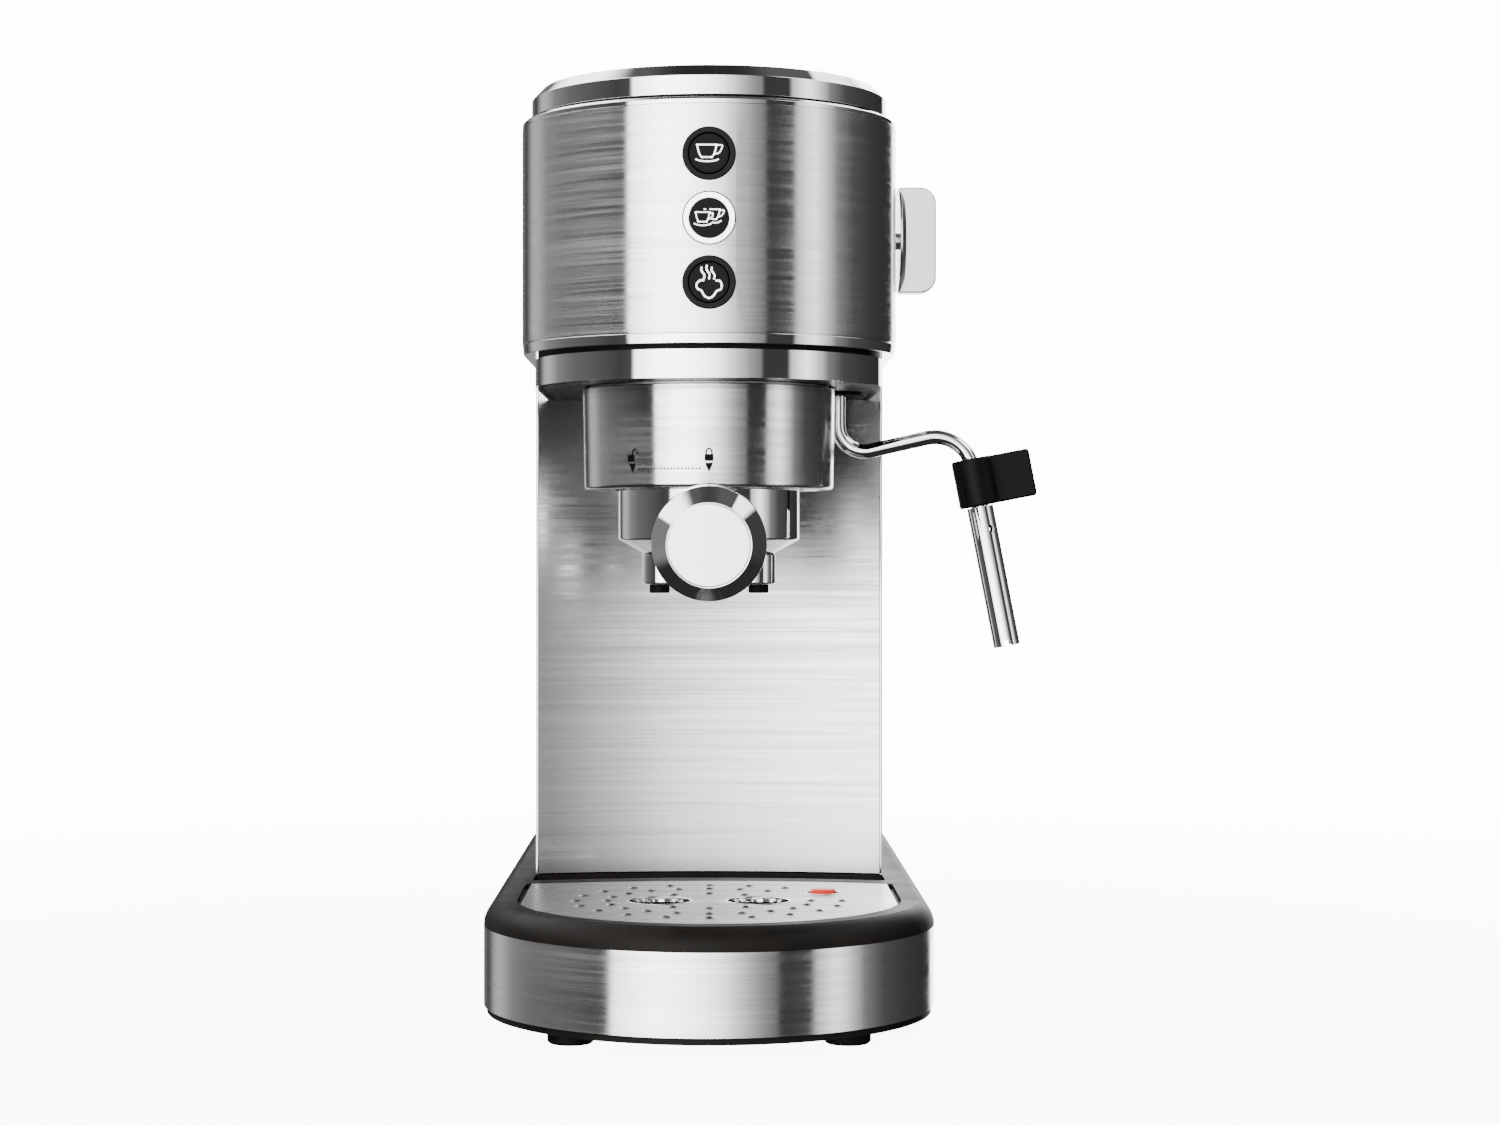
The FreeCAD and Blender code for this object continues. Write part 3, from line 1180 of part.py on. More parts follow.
def handle_grip():
    mid = (GRIP_START + CAP_START) / 2
    first = cone(GRIP_R0, GRIP_R1 - GRIP_SWELL, handle_point(GRIP_START), handle_point(mid))
    second = cone(GRIP_R1 - GRIP_SWELL, GRIP_R1, handle_point(mid), handle_point(CAP_START))
    body = fuse([first, second])
    return body.cut(rod(STEM_R, handle_point(0.0), handle_point(STEM_LENGTH)))


def handle_end_cap():
    start = handle_point(HANDLE_LENGTH - CAP_CONE)
    wall = rod(CAP_R, handle_point(CAP_START), start)
    return fuse([wall, cone(CAP_R, CAP_R - CAP_BEVEL, start, handle_point(HANDLE_LENGTH))])


# ---------------------------------------------------------------- water tank
def rounded_box(x, y0, y1, z0, z1, corner):
    body = box(-x, x, y0, y1, z0, z1)
    upright = [e for e in body.Edges if abs(e.tangentAt(e.FirstParameter).z) > 0.9]
    return body.makeFillet(corner, upright)


def water_tank():
    w = TANK_WALL
    outer = rounded_box(TANK_HALF_W, TANK_FRONT, TANK_BACK, TANK_Z, TANK_TOP_Z, TANK_CORNER)
    inner = rounded_box(TANK_HALF_W - w, TANK_FRONT + w, TANK_BACK - w, TANK_Z + TANK_FLOOR,
                        TANK_TOP_Z + 1, TANK_CORNER - w)
    nipple = rod(NIPPLE_R, (0, SEAT_Y, TANK_Z - NIPPLE_H), (0, SEAT_Y, TANK_Z + 1))
    bore = rod(NIPPLE_BORE_R, (0, SEAT_Y, TANK_Z - NIPPLE_H - 1), (0, SEAT_Y, TANK_Z + 10))
    body = fuse([outer.cut(inner), nipple]).cut(bore)
    for x in (-HINGE_HALF_W, HINGE_HALF_W):
        x0 = x - HINGE_LUG
        x1 = x + HINGE_LUG
        lug_box = box(x0, x1, HINGE_Y - w, TANK_BACK, TANK_TOP_Z - 3 * HINGE_R, HINGE_Z)
        body = fuse([body, lug_box, rod(HINGE_R, (x0, HINGE_Y, HINGE_Z), (x1, HINGE_Y, HINGE_Z))])
    return body.cut(lid_pin())


def lid_pin():
    reach = HINGE_HALF_W + HINGE_LUG + 1
    return rod(HINGE_PIN_R, (-reach, HINGE_Y, HINGE_Z), (reach, HINGE_Y, HINGE_Z))


def tank_lid():
    z0 = TANK_TOP_Z + GAP
    lid = rounded_box(TANK_HALF_W, TANK_FRONT, TANK_BACK, z0, z0 + LID_T, TANK_CORNER)
    lid = lid.cut(box(-99, 99, HINGE_Y - HINGE_R - 1, TANK_BACK + 1, z0 - 1, z0 + LID_T + 1))
    reach = HINGE_HALF_W - HINGE_LUG - GAP
    knuckle = rod(KNUCKLE_R, (-reach, HINGE_Y, HINGE_Z), (reach, HINGE_Y, HINGE_Z))
    web = box(-reach, reach, HINGE_Y - HINGE_R - 2, HINGE_Y, z0, z0 + TANK_WALL)
    bore = rod(HINGE_PIN_R + RUN, (-reach - 1, HINGE_Y, HINGE_Z), (reach + 1, HINGE_Y, HINGE_Z))
    return fuse([lid, knuckle, web]).cut(bore)


def tank_seat():
    r = NIPPLE_R + GAP
    z0 = BODY_Z
    profile = [(0, z0), (r + SEAT_WALL, z0), (r + SEAT_WALL, DECK_Z), (r, DECK_Z),
               (r, TANK_Z - NIPPLE_H - GAP), (0, TANK_Z - NIPPLE_H - GAP)]
    return turned(profile, 0, SEAT_Y)


# ---------------------------------------------------------------- write every piece
PIECES = {
    "base_plate": base_plate,
    "base_feet": base_feet,
    "base_screws": base_screws,
    "base_housing": base_housing,
    "base_band": base_band,
    "cord_gland": cord_gland,
    "tray_band": tray_band,
    "tray_rim": tray_rim,
    "tray_basin": tray_basin,
    "drip_grid": drip_grid,
    "tray_float": tray_float,
    "column_panel": column_panel,
    "column_wrap": column_wrap,
    "chassis": chassis,
    "switch_frame": switch_frame,
    "power_rocker": power_rocker,
    "pump": pump,
    "pump_mounts": pump_mounts,
    "flow_meter": flow_meter,
    "suction_hose": suction_hose,
    "pressure_hose": pressure_hose,
    "head_carrier": head_carrier,
    "head_shell": head_shell,
    "head_skirt": head_skirt,
    "lower_ring": lower_ring,
    "head_top_trim": head_top_trim,
    "head_top_ring": head_top_ring,
    "cup_warmer_plate": cup_warmer_plate,
    "underside_plate": underside_plate,
    "wand_bush": wand_bush,
    "group_collar": group_collar,
    "brew_head": brew_head,
    "group_gasket": group_gasket,
    "shower_screen": shower_screen,
    "shower_screw": shower_screw,
    "thermoblock": thermoblock,
    "thermostats": thermostats,
    "steam_valve": steam_valve,
    "control_board": control_board,
    "steam_knob": steam_knob,
    "wand_pipe": wand_pipe,
    "wand_grip": wand_grip,
    "wand_nozzle": wand_nozzle,
    "frother_sleeve": frother_sleeve,
    "portafilter_body": portafilter_body,
    "filter_basket": filter_basket,
    "spout_block": spout_block,
    "spout_tips": spout_tips,
    "handle_grip": handle_grip,
    "handle_end_cap": handle_end_cap,
    "water_tank": water_tank,
    "lid_pin": lid_pin,
    "tank_lid": tank_lid,
    "tank_seat": tank_seat,
}

for name, make in PIECES.items():
    save(make(), name)

for name, z in zip(BUTTON_NAMES, BUTTON_Z):
    save(light_ring(z), "ring_" + name)
    save(button(z), "button_" + name)
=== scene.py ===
import bpy
import bmesh
import json
import math
from mathutils import Matrix, Vector


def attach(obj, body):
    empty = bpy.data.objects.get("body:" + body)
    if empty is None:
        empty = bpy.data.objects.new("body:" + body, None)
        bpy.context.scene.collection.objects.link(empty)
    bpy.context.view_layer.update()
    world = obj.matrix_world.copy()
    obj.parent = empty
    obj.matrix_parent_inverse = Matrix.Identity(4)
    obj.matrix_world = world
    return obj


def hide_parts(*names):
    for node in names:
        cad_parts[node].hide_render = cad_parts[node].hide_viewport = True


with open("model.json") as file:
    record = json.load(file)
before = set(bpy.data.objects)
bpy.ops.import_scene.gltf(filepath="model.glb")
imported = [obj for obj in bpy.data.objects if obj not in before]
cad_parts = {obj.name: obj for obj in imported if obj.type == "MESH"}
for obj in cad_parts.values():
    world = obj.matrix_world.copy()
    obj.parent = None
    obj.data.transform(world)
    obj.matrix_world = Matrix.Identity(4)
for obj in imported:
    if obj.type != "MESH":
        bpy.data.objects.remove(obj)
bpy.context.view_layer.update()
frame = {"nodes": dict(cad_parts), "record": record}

MM = 0.001
NODES = frame["nodes"]

# ------------------------------------------------------------ camera
CAMERA_DISTANCE = 0.9435
CAMERA_HEIGHT = 0.155
LENS = 67.8
SHIFT_X = 0.0273
SHIFT_Y = -0.0049


def make_camera():
    data = bpy.data.cameras.new("camera")
    data.lens = LENS
    data.sensor_width = 36.0
    data.shift_x = SHIFT_X
    data.shift_y = SHIFT_Y
    data.clip_start = 0.01
    cam = bpy.data.objects.new("camera", data)
    cam.location = (0.0, -CAMERA_DISTANCE, CAMERA_HEIGHT)
    cam.rotation_euler = (math.radians(90), 0.0, 0.0)
    bpy.context.scene.collection.objects.link(cam)
    bpy.context.scene.camera = cam


# ------------------------------------------------------------ node helpers
class Nodes:
    """A node tree being built."""

    def __init__(self, tree):
        self.tree = tree

    def node(self, kind, **inputs):
        node = self.tree.nodes.new(kind)
        for key, value in inputs.items():
            node.inputs[key].default_value = value
        return node

    def link(self, source, target):
        self.tree.links.new(source, target)

    def position(self, scale):
        """Object coordinates, stretched by a scale for each axis."""
        coords = self.node("ShaderNodeTexCoord")
        mapping = self.node("ShaderNodeMapping")
        mapping.inputs["Scale"].default_value = scale
        self.link(coords.outputs["Object"], mapping.inputs["Vector"])
        return mapping.outputs["Vector"]

    def noise(self, scale, detail=3.0, rough=0.6):
        node = self.node("ShaderNodeTexNoise", Scale=1.0, Detail=detail, Roughness=rough)
        self.link(self.position(scale), node.inputs["Vector"])
        return node.outputs["Fac"]

    def math(self, operation, a, b):
        node = self.node("ShaderNodeMath")
        node.operation = operation
        for socket, value in zip(node.inputs, (a, b)):
            if isinstance(value, (int, float)):
                socket.default_value = value
            else:
                self.link(value, socket)
        return node.outputs[0]

    def ramp(self, fac, low, high, at=(0.3, 0.7)):
        node = self.node("ShaderNodeValToRGB")
        first, last = node.color_ramp.elements
        first.position, last.position = at
        first.color = (*low, 1.0) if isinstance(low, tuple) else (low, low, low, 1.0)
        last.color = (*high, 1.0) if isinstance(high, tuple) else (high, high, high, 1.0)
        self.link(fac, node.inputs["Fac"])
        return node.outputs["Color"]

    def span(self, fac, low, high, at=(0.3, 0.7)):
        node = self.node("ShaderNodeMapRange")
        for key, value in zip(("From Min", "From Max", "To Min", "To Max"), (*at, low, high)):
            node.inputs[key].default_value = value
        self.link(fac, node.inputs["Value"])
        return node.outputs["Result"]

    def smooth(self, fac, low, high):
        """0 at low, 1 at high, eased at both ends."""
        node = self.node("ShaderNodeMapRange")
        node.interpolation_type = "SMOOTHSTEP"
        node.inputs["From Min"].default_value = min(low, high)
        node.inputs["From Max"].default_value = max(low, high)
        node.inputs["To Min"].default_value = 0.0 if low < high else 1.0
        node.inputs["To Max"].default_value = 1.0 if low < high else 0.0
        self.link(fac, node.inputs["Value"])
        return node.outputs["Result"]


class Mat(Nodes):
    """A material being built, with its principled shader."""

    def __init__(self, name):
        self.mat = bpy.data.materials.new(name)
        self.mat.use_nodes = True
        super().__init__(self.mat.node_tree)
        self.bsdf = self.tree.nodes["Principled BSDF"]

    def set(self, **values):
        for key, value in values.items():
            self.bsdf.inputs[key.replace("_", " ")].default_value = value

    def bump(self, height, strength, distance, normal=None):
        node = self.node("ShaderNodeBump", Strength=strength, Distance=distance)
        self.link(height, node.inputs["Height"])
        if normal is not None:
            self.link(normal, node.inputs["Normal"])
        self.link(node.outputs["Normal"], self.bsdf.inputs["Normal"])
        return node.outputs["Normal"]


FINE_GRAIN = 100            # a scale above this runs across the scratches


def scaled(grain, across, along):
    """Grain's scale, changed apart across the scratches and along them."""
    return tuple(g * across if g > FINE_GRAIN else g * along for g in grain)


def brushed(name, base, rough, grain=(10, 10, 1100), lean=0.022, anisotropic=0.94, spread=0.06):
    """Steel brushed along the horizontal, or along X where the grain runs in Y."""
    m = Mat(name)
    m.set(Metallic=1.0, Anisotropic=anisotropic, Anisotropic_Rotation=0.25)
    fine = m.noise(grain, 4.0, 0.7)
    coarse = m.noise(scaled(grain, 0.4, 0.7), 3.0, 0.65)
    broad = m.noise(scaled(grain, 0.035, 0.5), 2.0, 0.5)
    mixed = m.math("ADD", m.math("MULTIPLY", fine, 0.5), m.math("MULTIPLY", coarse, 0.5))
    m.link(m.ramp(mixed, base - spread, base + spread), m.bsdf.inputs["Base Color"])
    m.link(m.span(mixed, rough + 0.07, rough - 0.07, (0.38, 0.62)), m.bsdf.inputs["Roughness"])
    # each scratch leans a little to one side, which frays the edges of reflections
    geometry = m.node("ShaderNodeNewGeometry")
    across = m.node("ShaderNodeVectorMath")
    across.operation = "CROSS_PRODUCT"
    across.inputs[0].default_value = (0.0, 0.0, 1.0)
    m.link(geometry.outputs["Normal"], across.inputs[1])
    scale = m.node("ShaderNodeVectorMath")
    scale.operation = "SCALE"
    m.link(across.outputs["Vector"], scale.inputs[0])
    both = m.math("ADD", m.math("MULTIPLY", coarse, 0.8), m.math("MULTIPLY", broad, 0.2))
    m.link(m.math("MULTIPLY", m.math("SUBTRACT", both, 0.5), lean), scale.inputs["Scale"])
    add = m.node("ShaderNodeVectorMath")
    add.operation = "ADD"
    m.link(geometry.outputs["Normal"], add.inputs[0])
    m.link(scale.outputs["Vector"], add.inputs[1])
    unit = m.node("ShaderNodeVectorMath")
    unit.operation = "NORMALIZE"
    m.link(add.outputs["Vector"], unit.inputs[0])
    m.bump(mixed, 0.12, 0.00004, unit.outputs["Vector"])
    tangent = m.node("ShaderNodeTangent")
    tangent.direction_type = "RADIAL"
    tangent.axis = "Z"
    m.link(tangent.outputs["Tangent"], m.bsdf.inputs["Tangent"])
    return m.mat


def polished(name, base=0.8, rough=0.07, spread=0.02):
    """Polished plating with faint waviness and polishing haze."""
    m = Mat(name)
    m.set(Metallic=1.0)
    haze = m.noise((60, 60, 60), 3.0, 0.6)
    m.link(m.ramp(haze, base - spread, base + spread), m.bsdf.inputs["Base Color"])
    m.link(m.span(haze, rough * 0.7, rough * 1.4), m.bsdf.inputs["Roughness"])
    m.bump(m.noise((900, 900, 900), 2.0), 0.03, 0.00002)
    return m.mat


def plastic(name, color, rough, grain=2500, bump=0.12, shine=0.5, spread=0.25):
    """Moulded plastic with a fine grain and slight mottling."""
    m = Mat(name)
    m.set(Specular_IOR_Level=shine)
    mottle = m.noise((70, 70, 70), 3.0)
    low = tuple(c * (1 - spread) for c in color)
    high = tuple(c * (1 + spread) for c in color)
    m.link(m.ramp(mottle, low, high), m.bsdf.inputs["Base Color"])
    m.link(m.span(mottle, rough - 0.04, rough + 0.05), m.bsdf.inputs["Roughness"])
    m.bump(m.noise((grain, grain, grain), 2.0), bump, 0.00006)
    return m.mat


def glowing_plastic(name, glow_strength):
    """White translucent plastic that glows: a lamp behind it on the lit ring, painted glow on the icons."""
    m = Mat(name)
    glow = m.noise((500, 500, 500), 2.0)
    m.link(m.ramp(glow, 0.9, 1.0), m.bsdf.inputs["Base Color"])
    m.link(m.ramp(glow, 0.93, 1.0), m.bsdf.inputs["Emission Color"])
    m.set(Emission_Strength=glow_strength, Roughness=0.35)
    return m.mat


def clear_tank(name):
    """Smoke-tinted clear plastic with faint moulding waves."""
    m = Mat(name)
    m.set(IOR=1.46, Transmission_Weight=0.92)
    wave = m.noise((25, 25, 8), 2.0)
    m.link(m.ramp(wave, (0.36, 0.38, 0.41), (0.44, 0.46, 0.49)), m.bsdf.inputs["Base Color"])
    m.link(m.span(wave, 0.05, 0.1), m.bsdf.inputs["Roughness"])
    m.bump(wave, 0.1, 0.0004)
    return m.mat


def make_materials():
    black = (0.0084, 0.0068, 0.0056)
    return {
        "brushed_steel": brushed("brushed_steel", 0.84, 0.2),
        "polished_steel": polished("polished_steel", 0.92, 0.04),
        "panel_steel": brushed("panel_steel", 0.6, 0.2),
        "satin_steel": polished("satin_steel", 0.56, 0.2),
        "grid_steel": brushed("grid_steel", 0.42, 0.3, grain=(10, 900, 10), anisotropic=0.3),
        "cup_plate": brushed("cup_plate", 0.6, 0.36, grain=(10, 900, 10), anisotropic=0.3),
        "screen_steel": brushed("screen_steel", 0.8, 0.3, grain=(60, 60, 900)),
        "screw_steel": polished("screw_steel", 0.7, 0.3),
        "dark_metal": plastic("dark_metal", (0.02, 0.02, 0.021), 0.32, shine=0.3),
        "cast_aluminium": polished("cast_aluminium", 0.6, 0.45, 0.05),
        "brass": polished("brass", 0.55, 0.3, 0.05),
        "black_plastic": plastic("black_plastic", black, 0.5, shine=0.09),
        "frame_plastic": plastic("frame_plastic", (0.03, 0.03, 0.032), 0.5, shine=0.2),
        "gloss_black": plastic("gloss_black", (0.003, 0.0028, 0.0026), 0.2, bump=0.02, shine=0.1),
        "cap_black": plastic("cap_black", (0.0062, 0.0056, 0.005), 0.45, bump=0.04, shine=0.08),
        "grip_black": plastic("grip_black", (0.0025, 0.0025, 0.0025), 0.5, 1800, 0.2, shine=0.1),
        "rubber": plastic("rubber", (0.004, 0.004, 0.004), 0.65, bump=0.2, shine=0.1),
        "float_red": plastic("float_red", (0.75, 0.03, 0.015), 0.3, bump=0.02, shine=0.35, spread=0.08),
        "pump_body": plastic("pump_body", (0.03, 0.03, 0.034), 0.45, shine=0.2),
        "hose": plastic("hose", (0.6, 0.6, 0.57), 0.4, spread=0.05),
        "circuit_board": plastic("circuit_board", (0.02, 0.16, 0.05), 0.35),
        "tank_clear": clear_tank("tank_clear"),
        "ring_lit": glowing_plastic("ring_lit", 5.0),
        # painted glow: the white icon print emits light, with no lamp behind it
        "icon_white": glowing_plastic("icon_white", 2.2),
        "print_black": plastic("print_black", (0.003, 0.003, 0.003), 0.5, bump=0.02, shine=0.05),
    }


# ------------------------------------------------------------ studio
# how bright the studio is round the object: degrees from the camera's side towards +X
ROUND = [
    (-180, 0.35), (-168, 0.2), (-152, 0.03), (-146, 0.15), (-138, 0.55), (-131, 0.55), (-118, 0.22),
    (-100, 0.12), (-76, 0.07), (-60, 0.03), (-51, 0.05), (-49, 4.0), (-40, 5.4), (-29, 7.6),
    (-16, 7.0), (-4, 5.0), (4, 3.7), (12, 1.8), (20, 0.85), (27, 0.4), (34, 0.22), (35.5, 0.02),
    (53, 0.02), (55, 0.85), (67, 2.5), (76, 1.0), (84, 0.22), (98, 0.05), (118, 0.02), (152, 0.0),
    (157, 5.5), (180, 7.0),
]
BRIGHTEST = 8.0
LEFT_BOX = 4.2              # overhead soft boxes
RIGHT_BOX = 3.2
CEILING = 0.08
FILL = 0.03                 # everywhere
PAST_STAGE = 14.0           # what the camera sees past the stage's edge
BACKDROP_GLOW = 14.0
FLOOR_GLOW = 9.0            # under the object
FLOOR_RISE = 5.0            # added further out


def make_world():
    """Studio seen by the object: tall lit and dark panels all round, two soft boxes overhead."""
    world = bpy.data.worlds.new("studio")
    bpy.context.scene.world = world
    world.use_nodes = True
    m = Nodes(world.node_tree)
    back = world.node_tree.nodes["Background"]
    back.inputs["Color"].default_value = (1, 1, 1, 1)
    coords = m.node("ShaderNodeTexCoord")
    split = m.node("ShaderNodeSeparateXYZ")
    m.link(coords.outputs["Generated"], split.inputs[0])
    x, y, z = split.outputs
    turn = m.math("DIVIDE", m.math("ARCTAN2", x, m.math("MULTIPLY", y, -1.0)), 2 * math.pi)
    turn = m.math("ADD", turn, 0.5)
    ramp = m.node("ShaderNodeValToRGB")
    points = ramp.color_ramp.elements
    for angle, value in ROUND:
        place = (angle + 180) / 360
        point = points[0] if place == 0 else points[-1] if place == 1 else points.new(place)
        point.color = (*[value / BRIGHTEST] * 3, 1.0)
    m.link(turn, ramp.inputs["Fac"])
    wall = m.math("MULTIPLY", ramp.outputs["Color"], BRIGHTEST)
    wall = m.math("MULTIPLY", wall, m.smooth(z, -0.45, -0.2))
    wall = m.math("MULTIPLY", wall, m.smooth(z, 0.78, 0.6))
    left = m.math("MULTIPLY", m.smooth(turn, 0.04, 0.09), m.smooth(turn, 0.36, 0.31))
    left = m.math("MULTIPLY", left, m.math("MULTIPLY", m.smooth(z, 0.38, 0.46), m.smooth(z, 0.9, 0.76)))
    right = m.math("MULTIPLY", m.smooth(turn, 0.62, 0.66), m.smooth(turn, 0.97, 0.93))
    right = m.math("MULTIPLY", right, m.math("MULTIPLY", m.smooth(z, 0.5, 0.62), m.smooth(z, 0.81, 0.78)))
    boxes = m.math("ADD", m.math("MULTIPLY", left, LEFT_BOX), m.math("MULTIPLY", right, RIGHT_BOX))
    ceiling = m.math("MULTIPLY", m.smooth(z, 0.7, 0.85), m.smooth(z, 0.99, 0.92))
    ceiling = m.math("MULTIPLY", ceiling, CEILING)
    total = m.math("ADD", m.math("ADD", wall, boxes), m.math("ADD", ceiling, FILL))
    # seen straight on, past the edge of the stage, it is as pale as the backdrop
    seen = m.node("ShaderNodeLightPath").outputs["Is Camera Ray"]
    m.link(m.math("ADD", total, m.math("MULTIPLY", seen, PAST_STAGE)), back.inputs["Strength"])


def stage_mesh(name, verts, faces, material):
    mesh = bpy.data.meshes.new(name)
    mesh.from_pydata(verts, [], faces)
    mesh.materials.append(material)
    obj = bpy.data.objects.new(name, mesh)
    bpy.context.scene.collection.objects.link(obj)
    return obj


def make_floor():
    """Pale floor that lightens evenly into the pale backdrop."""
    m = Mat("floor")
    m.set(Base_Color=(0.9, 0.9, 0.9, 1), Roughness=0.9, Specular_IOR_Level=0.0)
    coords = m.node("ShaderNodeTexCoord")
    length = m.node("ShaderNodeVectorMath")
    length.operation = "LENGTH"
    m.link(coords.outputs["Object"], length.inputs[0])
    m.set(Emission_Color=(1, 1, 1, 1))
    rise = m.math("MULTIPLY", m.smooth(length.outputs["Value"], 0.15, 1.2), FLOOR_RISE)
    m.link(m.math("ADD", rise, FLOOR_GLOW), m.bsdf.inputs["Emission Strength"])
    s = 40.0
    floor = stage_mesh("floor", [(-s, -s, 0), (s, -s, 0), (s, s, 0), (-s, s, 0)], [(0, 1, 2, 3)], m.mat)
    floor.location.z = -0.0002
    floor.visible_glossy = False
    floor.visible_diffuse = False
    floor.visible_transmission = False


def make_backdrop():
    """Round pale backdrop, only there for the picture's background."""
    m = Mat("backdrop")
    m.set(Base_Color=(0, 0, 0, 1), Emission_Color=(1, 1, 1, 1), Emission_Strength=BACKDROP_GLOW,
          Specular_IOR_Level=0.0)
    n = 48
    radius = 39.0
    verts = []
    for k in range(n):
        a = 2 * math.pi * k / n
        x = radius * math.cos(a)
        y = radius * math.sin(a)
        verts += [(x, y, -1.0), (x, y, 60.0)]
    faces = [(2 * k, 2 * k + 1, (2 * k + 3) % (2 * n), (2 * k + 2) % (2 * n)) for k in range(n)]
    faces.append(tuple(range(1, 2 * n, 2)))
    backdrop = stage_mesh("backdrop", verts, faces, m.mat)
    for flag in ("glossy", "diffuse", "transmission", "shadow", "volume_scatter"):
        setattr(backdrop, "visible_" + flag, False)


# ------------------------------------------------------------ shapes
def rounded(points, radius, steps=4, closed=True):
    """Polyline with its corners rounded. A point may carry its own radius as a third number."""
    count = len(points)
    out = []
    for i, p in enumerate(points):
        r = p[2] if len(p) > 2 else radius
        here = Vector(p[:2])
        if not closed and i in (0, count - 1) or r <= 0:
            out.append(here)
            continue
        a = Vector(points[i - 1][:2]) - here
        b = Vector(points[(i + 1) % count][:2]) - here
        half = a.angle(b) / 2
        reach = min(r / math.tan(half), a.length * 0.45, b.length * 0.45)
        a.normalize()
        b.normalize()
        r = reach * math.tan(half)
        centre = here + (a + b).normalized() * (r / math.sin(half))
        start = here + a * reach - centre
        end = here + b * reach - centre
        sweep = start.angle_signed(end)
        for k in range(steps + 1):
            out.append(centre + Matrix.Rotation(-sweep * k / steps, 2) @ start)
    return [(v.x, v.y) for v in out]


def catmull(points, steps=6):
    """Smooth curve through the points."""
    vs = [Vector(p) for p in points]
    vs = [2 * vs[0] - vs[1]] + vs + [2 * vs[-1] - vs[-2]]
    out = []
    for p0, p1, p2, p3 in zip(vs, vs[1:], vs[2:], vs[3:]):
        for k in range(steps):
            t = k / steps
            out.append(0.5 * (2 * p1 + (p2 - p0) * t + (2 * p0 - 5 * p1 + 4 * p2 - p3) * t * t
                              + (3 * p1 - p0 - 3 * p2 + p3) * t ** 3))
    out.append(vs[-2])
    return out


def make_piece(name, bm, material, body, replaced=(), sharp=35, flat=True):
    """Turns a bmesh in millimetres into a finished piece on a body."""
    bmesh.ops.remove_doubles(bm, verts=bm.verts, dist=1e-5)
    bmesh.ops.recalc_face_normals(bm, faces=bm.faces)
    bmesh.ops.scale(bm, vec=(MM, MM, MM), verts=bm.verts)
    mesh = bpy.data.meshes.new(name)
    bm.to_mesh(mesh)
    bm.free()
    mesh.polygons.foreach_set("use_smooth", [True] * len(mesh.polygons))
    mesh.set_sharp_from_angle(angle=math.radians(sharp))
    mesh.materials.append(MATERIALS[material])
    obj = bpy.data.objects.new(name, mesh)
    bpy.context.scene.collection.objects.link(obj)
    if flat:
        normals = obj.modifiers.new("normals", "WEIGHTED_NORMAL")
        normals.keep_sharp = True
    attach(obj, body)
    if replaced:
        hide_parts(*replaced)
    return obj


def add_lathe(bm, profile, place=(0, 0, 0), axis=(0, 0, 1), segments=96, closed=True):
    """Spins (radius, height) points round an axis. An open profile begins and ends on it."""
    turn = Vector((0, 0, 1)).rotation_difference(Vector(axis)).to_matrix()
    origin = Vector(place)
    rows = []
    for r, h in profile:
        if r < 1e-6:
            rows.append([bm.verts.new(turn @ Vector((0, 0, h)) + origin)])
            continue
        row = []
        for k in range(segments):
            a = 2 * math.pi * k / segments
            row.append(bm.verts.new(turn @ Vector((r * math.cos(a), r * math.sin(a), h)) + origin))
        rows.append(row)
    pairs = list(zip(rows, rows[1:]))
    if closed:
        pairs.append((rows[-1], rows[0]))
    for low, high in pairs:
        for k in range(segments):
            n = (k + 1) % segments
            if len(low) == 1 and len(high) == 1:
                continue
            if len(low) == 1:
                bm.faces.new((low[0], high[n], high[k]))
            elif len(high) == 1:
                bm.faces.new((low[k], low[n], high[0]))
            else:
                bm.faces.new((low[k], low[n], high[n], high[k]))


def add_prism(bm, outline, place, u, v, depth, bevel=0.0, steps=3):
    """Outline in the plane of u and v, given a depth along their normal, with soft edges."""
    u = Vector(u)
    v = Vector(v)
    normal = u.cross(v).normalized()
    origin = Vector(place)
    middle = sum((Vector(p) for p in outline), Vector((0, 0))) / len(outline)
    if bevel:
        turns = [math.pi / 2 * k / steps for k in range(steps + 1)]
        levels = [(bevel * (1 - math.sin(t)), bevel * (1 - math.cos(t))) for t in turns]
        levels = levels + [(i, depth - h) for i, h in reversed(levels)]
    else:
        levels = [(0.0, 0.0), (0.0, depth)]
    rows = []
    count = len(outline)
    for inset, height in levels:
        row = []
        for k in range(count):
            p = Vector(outline[k])
            a = (p - Vector(outline[k - 1])).normalized()
            b = (Vector(outline[(k + 1) % count]) - p).normalized()
            along = (a + b).normalized()
            inward = Vector((-along.y, along.x))
            if inward.dot(middle - p) < 0:
                inward = -inward
            q = p + inward * inset
            row.append(bm.verts.new(origin + u * q.x + v * q.y + normal * height))
        rows.append(row)
    for low, high in zip(rows, rows[1:]):
        for k in range(count):
            n = (k + 1) % count
            bm.faces.new((low[k], low[n], high[n], high[k]))
    bm.faces.new(rows[0])
    bm.faces.new(rows[-1])


def d_outline(radius, back, corner, arc=96, bend=10):
    """Points and outward normals round a D shape: round front, straight sides, rear corners."""
    out = []
    for k in range(arc + 1):
        a = math.pi * k / arc
        n = Vector((math.cos(a), -math.sin(a)))
        out.append((n * radius, n))
    for side, start in ((-1, math.pi), (1, math.pi / 2)):
        centre = Vector((side * (radius - corner), back - corner))
        for k in range(bend + 1):
            a = start - math.pi / 2 * k / bend
            n = Vector((math.cos(a), math.sin(a)))
            out.append((centre + n * corner, n))
    return out


